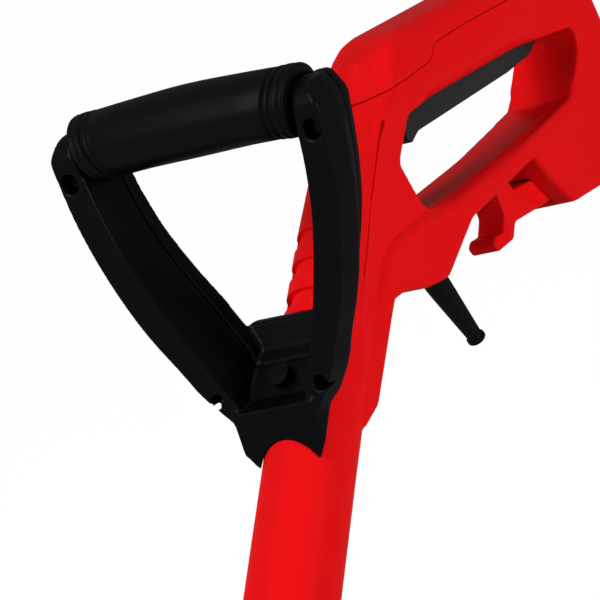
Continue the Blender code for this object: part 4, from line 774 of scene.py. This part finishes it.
handle = {
    "outer": [
        (25.4, 29.6), (34.9, 41.2), (40.2, 51.5), (52, 71.5), (60, 91.5), (65.6, 110.5), (69.2, 128.5),
        (71.2, 153), (66, 162.5),
    ],
    "inner": [
        (61, 162.5), (58.2, 152), (56.8, 140), (55.3, 128), (51.7, 110), (45.2, 91), (37.4, 71.5),
        (28.5, 52.5), (16.5, 30), (15, 24.5), (20.5, 24),
    ],
    "middle": [(30.6, 20), (52.5, 34.5), (71.5, 45), (91, 52.5), (110, 58.6), (128, 62.2), (165, 63.5)],
    "fall": [(30, 5), (60, 8), (82, 7.5), (105, 4.3), (130, 2.3), (150, 0.4)],
    "slant": [(31, 3), (52, 14.5), (75, 14), (93, 11), (112, 8.6), (134, 6.7)],
    "shaftRadius": 20,
    "front": 12.2,
    "crest": -1.0,
    "crestRise": 1.2,
    "back": -14.0,
    "split": -8.0,
    "top": 162.5,
    "footFront": 13.4,
    "footTop": 62,
    "footSection": [(12.9, 16), (18.2, 21.7), (60, 21.7)],  # (ahead of the shaft's axis, y)
    "footTaper": [(30, -10), (22.5, 42), (17.6, 64)],  # (y, z)
    "saddleFloor": 25,
    "clampStation": 30,
    "clampHole": 3.3,
    "screws": ((64.5, 142.5), (-64.5, 142.5), (27.2, 37), (-27.2, 37)),
    "screwSeat": 4.2,
    "recesses": (4.4, 4.4, 3.4, 3.4),
    "voxel": 0.66,
    "passes": 11,
}
grip = {
    "height": 155.5,  # centre of the cross bar
    "arch": 1.7,  # the ends lie this much under the middle
    "slant": 0.22,  # the ends lean out with the arms
    "slantFrom": (20, 15),  # the distance from the middle where that starts, and over which it grows
    "half": 56.0,
    "radius": 15.7,
    "endRadius": 14.9,
    "core": 10.0,
}


def easeCorners(corners, share=0.42, longest=9):
    # Radii that turn a string of short chords into one flowing curve.
    eased = []
    for index, (first, second) in enumerate(corners):
        here = Vector((first, second))
        before = here - Vector(corners[index - 1])
        after = Vector(corners[(index + 1) % len(corners)]) - here
        turn = before.angle(after)
        reach = min(share * before.length, share * after.length, longest)
        eased.append((first, second, reach / math.tan(turn / 2) if 0.01 < turn < 0.6 else 0))  # radians
    return eased


def shapeArm(work):
    # The outer side has a crest and falls in behind it; the inner side slants in towards the back.
    depth = handle["front"] - handle["back"]
    for point in work.verts:
        place = point.co
        behind = (handle["front"] - place.x) / depth
        if place.y < readOff(handle["middle"], place.z):
            place.y -= readOff(handle["slant"], place.z) * behind
        elif abs(place.x - handle["crest"]) < 0.01:
            place.y += handle["crestRise"]
        elif place.x < handle["crest"]:
            place.y -= readOff(handle["fall"], place.z)
    return work


outline = easeCorners(handle["outer"] + handle["inner"])
last = len(handle["outer"]) - 1
outline[last - 1 : last + 1] = [(*handle["outer"][-2], 8), (*handle["outer"][-1], 4)]  # round shoulders on the arm
rollFront, rollTop = handle["front"] + 0.4, handle["top"] + 0.3
roll = [(-30, -50), (30, -50), (30, 130), (rollFront, 130), (rollFront, rollTop, 12), (-30, rollTop)]


def oneArm(sign):
    work = shapeArm(slab(outline, handle["back"], handle["front"], "YZ", (handle["crest"],)))
    if sign < 0:
        bmesh.ops.scale(work, vec=(1, -1, 1), verts=work.verts)
    bmesh.ops.triangulate(work, faces=work.faces)
    bmesh.ops.recalc_face_normals(work, faces=work.faces)
    arm = carve(asPiece(work), slab(roll, -100, 100), "INTERSECT")
    near, far = sorted((5 * sign, 100 * sign))  # below, the foot alone lies against the shaft
    return carve(arm, block((-50, near, -100), (19, far, 100), shaftTurn))


def footBlock():
    # A trough in front, a saddle for the shaft behind, narrow tips below.
    topEdge, back, floor, station = handle["footTop"], handle["back"], handle["saddleFloor"], handle["clampStation"]
    side = [
        (handle["footFront"], -5), (handle["footFront"], 30.6), onShaft(floor, station - 9),
        onShaft(floor, station + 15), (back - 0.4, topEdge), (back - 6.5, topEdge), (back - 6.5, 35), (-2, -5),
    ]
    foot = asPiece(slab(side, -30, 30))
    section = handle["footSection"] + [(across, -y) for across, y in reversed(handle["footSection"])]
    work = bmesh.new()
    base = work.faces.new([work.verts.new((across, y, -200)) for across, y in section])
    grown = bmesh.ops.extrude_face_region(work, geom=[base])["geom"]
    bmesh.ops.translate(work, vec=(0, 0, 400), verts=[item for item in grown if isinstance(item, bmesh.types.BMVert)])
    bmesh.ops.transform(work, matrix=shaftTurn, verts=work.verts)
    bmesh.ops.recalc_face_normals(work, faces=work.faces)
    carve(foot, work, "INTERSECT")
    taper = handle["footTaper"] + [(-y, z) for y, z in reversed(handle["footTaper"])]
    return carve(foot, slab(taper, -100, 100, "YZ"), "INTERSECT")


def slantAndArch(work):
    # The cross bar's ends lean with the arms, and its middle stands highest.
    start, growth = grip["slantFrom"]
    for point in work.verts:
        share = min(max(abs(point.co.y) - start, 0) / growth, 1)
        point.co.y += share * (point.co.z - grip["height"]) * grip["slant"] * math.copysign(1, point.co.y)
        point.co.z -= grip["arch"] * (point.co.y / grip["half"]) ** 2
    return work


def alongY(profile, steps, closed=False):
    return turned(profile, steps, Matrix.Translation((0, 0, grip["height"])) @ lieAlongY, closed)


def rodAlongX(y, z, radius, low, high):
    lay = Matrix.Translation((0, y, z)) @ Matrix.Rotation(math.pi / 2, 4, "Y")
    return turned([(0, low), (radius, low), (radius, high), (0, high)], 48, lay)


gap = layout["gap"]
whole = carve(footBlock(), oneArm(1), "UNION")
carve(whole, oneArm(-1), "UNION")
seat = handle["shaftRadius"] + gap
carve(whole, turned([(0, 200), (seat, 200), (seat, -100), (0, -100)], 160, shaftTurn))
room, roomEnd, waist = grip["radius"] + 1, grip["half"] + gap, grip["half"] / 2
profile = [(0, roomEnd), (room, roomEnd), (room, waist), (room, 0), (room, -waist), (room, -roomEnd), (0, -roomEnd)]
carve(whole, slantAndArch(alongY(profile, 64)))
boltX, boltZ = onShaft(0, handle["clampStation"])
boltTurn = Matrix.Translation((boltX, 0, boltZ)) @ Matrix.Rotation(math.pi / 2 - lean, 4, "Y")
bolt = handle["clampHole"]
carve(whole, turned([(0, 0), (bolt, 0), (bolt, 50), (0, 50)], 32, boltTurn))
for (y, z), radius in zip(handle["screws"], handle["recesses"]):
    carve(whole, rodAlongX(y, z, radius, handle["screwSeat"], 30))
print("handle shaped")

rear = whole.copy()
rear.data = whole.data.copy()
bpy.context.scene.collection.objects.link(rear)
split = handle["split"]
carve(rear, block((-100, -200, -200), (split - gap / 2, 200, 400)), "INTERSECT")
carve(whole, block((split + gap / 2, -200, -200), (100, 200, 400)), "INTERSECT")
core, coreEnd = grip["core"], grip["half"] + 6
profile = [(0, coreEnd), (core, coreEnd), (core, waist), (core, -waist), (core, -coreEnd), (0, -coreEnd)]
core = carve(asPiece(alongY(profile, 48)), block((split + gap / 2, -200, 100), (100, 200, 400)), "INTERSECT")
for point in core.data.vertices:
    point.co.z -= grip["arch"] * (point.co.y / grip["half"]) ** 2
carve(whole, core, "UNION")
for piece, name, node in ((whole, "handleFront", "front_handle_front"), (rear, "handleRear", "front_handle_rear")):
    softened(piece, handle["voxel"], handle["passes"])
    showPiece(piece, name, "front_handle", "satinBlackNylon", [node])

end, half, wide = grip["endRadius"], grip["half"], grip["radius"]
swell = [
    (wide, 0), (wide - 0.05, 8), (wide - 0.25, 17), (wide - 0.5, 30), (end + 0.2, half - 12.4),
    (end, half - 11.7), (end - 0.55, half - 11.2), (end - 0.45, half - 10.6), (end + 0.25, half - 9.9),
    (end + 0.4, half - 9.2), (end + 0.4, half - 8.6), (end + 0.2, half - 7.9), (end - 0.5, half - 7.3),
    (end - 0.5, half - 6.8), (end + 0.5, half - 6.1), (end + 0.6, half - 5.6), (end + 0.6, half - 4),
    (end + 0.5, half - 3.4), (end + 0.1, half - 3), (end + 0.1, half - 2.6), (end + 0.5, half - 2.1),
    (end + 0.5, half - 1), (end + 0.3, half - 0.4), (end - 0.2, half),
]
bore = grip["core"] + gap
profile = [(radius, -height) for radius, height in reversed(swell[1:])] + swell
profile += [(bore, half), (bore, waist), (bore, -waist), (bore, -half)]
showPiece(
    asPiece(slantAndArch(alongY(profile, 96, closed=True))), "gripSleeve", "front_handle", "softGripRubber",
    ["front_grip_sleeve"], 50,
)

# Motor head

motorHead = {  # node: piece, body, finish, slot and voxel
    "motor_housing": ("motorHousing", "body", "polishedRedAbs", "red_plastic", 1.06),
    "debris_guard": ("debrisGuard", "body", "satinBlackNylon", "black_plastic", 1.06),
    "spool_hub": ("spoolHub", "spool_head", "satinBlackNylon", "black_plastic", 0.8),
    "hub_cover": ("hubCover", "spool_head", "satinBlackNylon", "black_plastic", 0.7),
    "tap_knob": ("tapKnob", "spool", "satinBlackNylon", "black_plastic", 0.7),
}
headPasses = 6
for node, (name, carrier, finish, slot, voxel) in motorHead.items():
    showPiece(softened(asPiece(copyOfNode(node)), voxel, headPasses), name, carrier, finish, [node])

# Lower handle screws, their points ending inside the arms

lowerScrew = {"pointsEnd": -3}
for side in ("left", "right"):
    node = "front_handle_screw_lower_" + side
    screw = carve(asPiece(copyOfNode(node)), block((-60, -60, 0), (lowerScrew["pointsEnd"], 60, 80)))
    showPiece(screw, "lowerScrew" + side.capitalize(), "front_handle", "blackOxideSteel", [node], 40)

# The two springs, each shown with its own copy of the mesh

springs = {  # the anchor, in metres, is the end that stays; keep is the share of the length left at the limit
    "trigger_spring": {
        "piece": "triggerSpring", "body": "body", "joint": "trigger_pull",
        "anchor": (0.0252, 0, -0.0013), "keep": 0.34,
    },
    "tap_spring": {
        "piece": "tapSpring", "body": "spool", "joint": "tap_feed",
        "anchor": (0.6183, 0, -0.68036), "keep": 0.72,
    },
}
for node, coil in springs.items():
    spring = asPiece(copyOfNode(node))
    showPiece(spring, coil["piece"], coil["body"], "zincPlatedSteel", [node], 40)
    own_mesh(spring)

# Stage and lights

stage = {
    "floorHalf": 16,  # metres
    "floorTone": "#A6A6A6",
    "floorLift": 0.93,
    "ambient": 0.06,
    "lookAt": (0.13, 0, -0.03),
}


def backgroundShare(tree, plain, seen):
    # Camera, glossy and transmission rays see one strength, and the light on the object has another.
    rays = addNode(tree, "ShaderNodeLightPath")
    either = addNode(
        tree, "ShaderNodeMath", {"operation": "MAXIMUM"},
        {0: rays.outputs["Is Camera Ray"], 1: rays.outputs["Is Glossy Ray"]},
    )
    either = addNode(
        tree, "ShaderNodeMath", {"operation": "MAXIMUM"},
        {0: either.outputs[0], 1: rays.outputs["Is Transmission Ray"]},
    )
    return addNode(
        tree, "ShaderNodeMapRange", {"To Min": plain, "To Max": seen}, {"Value": either.outputs[0]}
    ).outputs["Result"]


work = bmesh.new()
bmesh.ops.create_grid(work, x_segments=2, y_segments=2, size=stage["floorHalf"])
bmesh.ops.translate(work, vec=(0, 0, cadBox[0][2]), verts=work.verts)
floor = asPiece(work, "floor")
# Matt pale paint: the eye sees nothing of it but the object's shadow.
floorPaint, tree, shader = startMaterial("paleFloorPaint", {"Roughness": 0.9, "Specular IOR Level": 0.1})[:3]
floor.data.materials.append(floorPaint)
shader.inputs["Base Color"].default_value = linear(stage["floorTone"])
shader.inputs["Emission Color"].default_value = (1, 1, 1, 1)
tree.links.new(backgroundShare(tree, 0, stage["floorLift"]), shader.inputs["Emission Strength"])

# The world is white to the eye and in reflections, and lights the object only faintly.
world = bpy.data.worlds.new("studio")
bpy.context.scene.world = world
world.use_nodes = True
sky = world.node_tree.nodes["Background"]
sky.inputs["Color"].default_value = (1, 1, 1, 1)
world.node_tree.links.new(backgroundShare(world.node_tree, stage["ambient"], 1.0), sky.inputs["Strength"])

lamps = {  # side, up and back are metres along the camera's own axes from the point looked at
    "leftStrip": {"side": -1.6, "up": 0.3, "back": 1.1, "size": (0.5, 1.6), "watts": 33},
    "rightSoftbox": {"side": 1.7, "up": 0.4, "back": 1.6, "size": (0.9, 0.9), "watts": 37},
    "topSoftbox": {"side": -0.4, "up": 1.9, "back": 0.2, "size": (0.6, 0.6), "watts": 2},
}
target = Vector(stage["lookAt"])
turnOfCamera = camera.matrix_world.to_3x3()
for name, lamp in lamps.items():
    light = bpy.data.lights.new(name, "AREA")
    light.shape = "RECTANGLE"
    light.size, light.size_y = lamp["size"]
    light.energy = lamp["watts"]
    holder = bpy.data.objects.new(name, light)
    offset = turnOfCamera @ Vector((lamp["side"], lamp["up"], lamp["back"]))
    holder.location = target + offset
    holder.rotation_euler = offset.to_track_quat("Z", "Y").to_euler()
    bpy.context.scene.collection.objects.link(holder)

bpy.context.scene.view_settings.view_transform = "Standard"
print("stage and lamps set")

print("scene made")
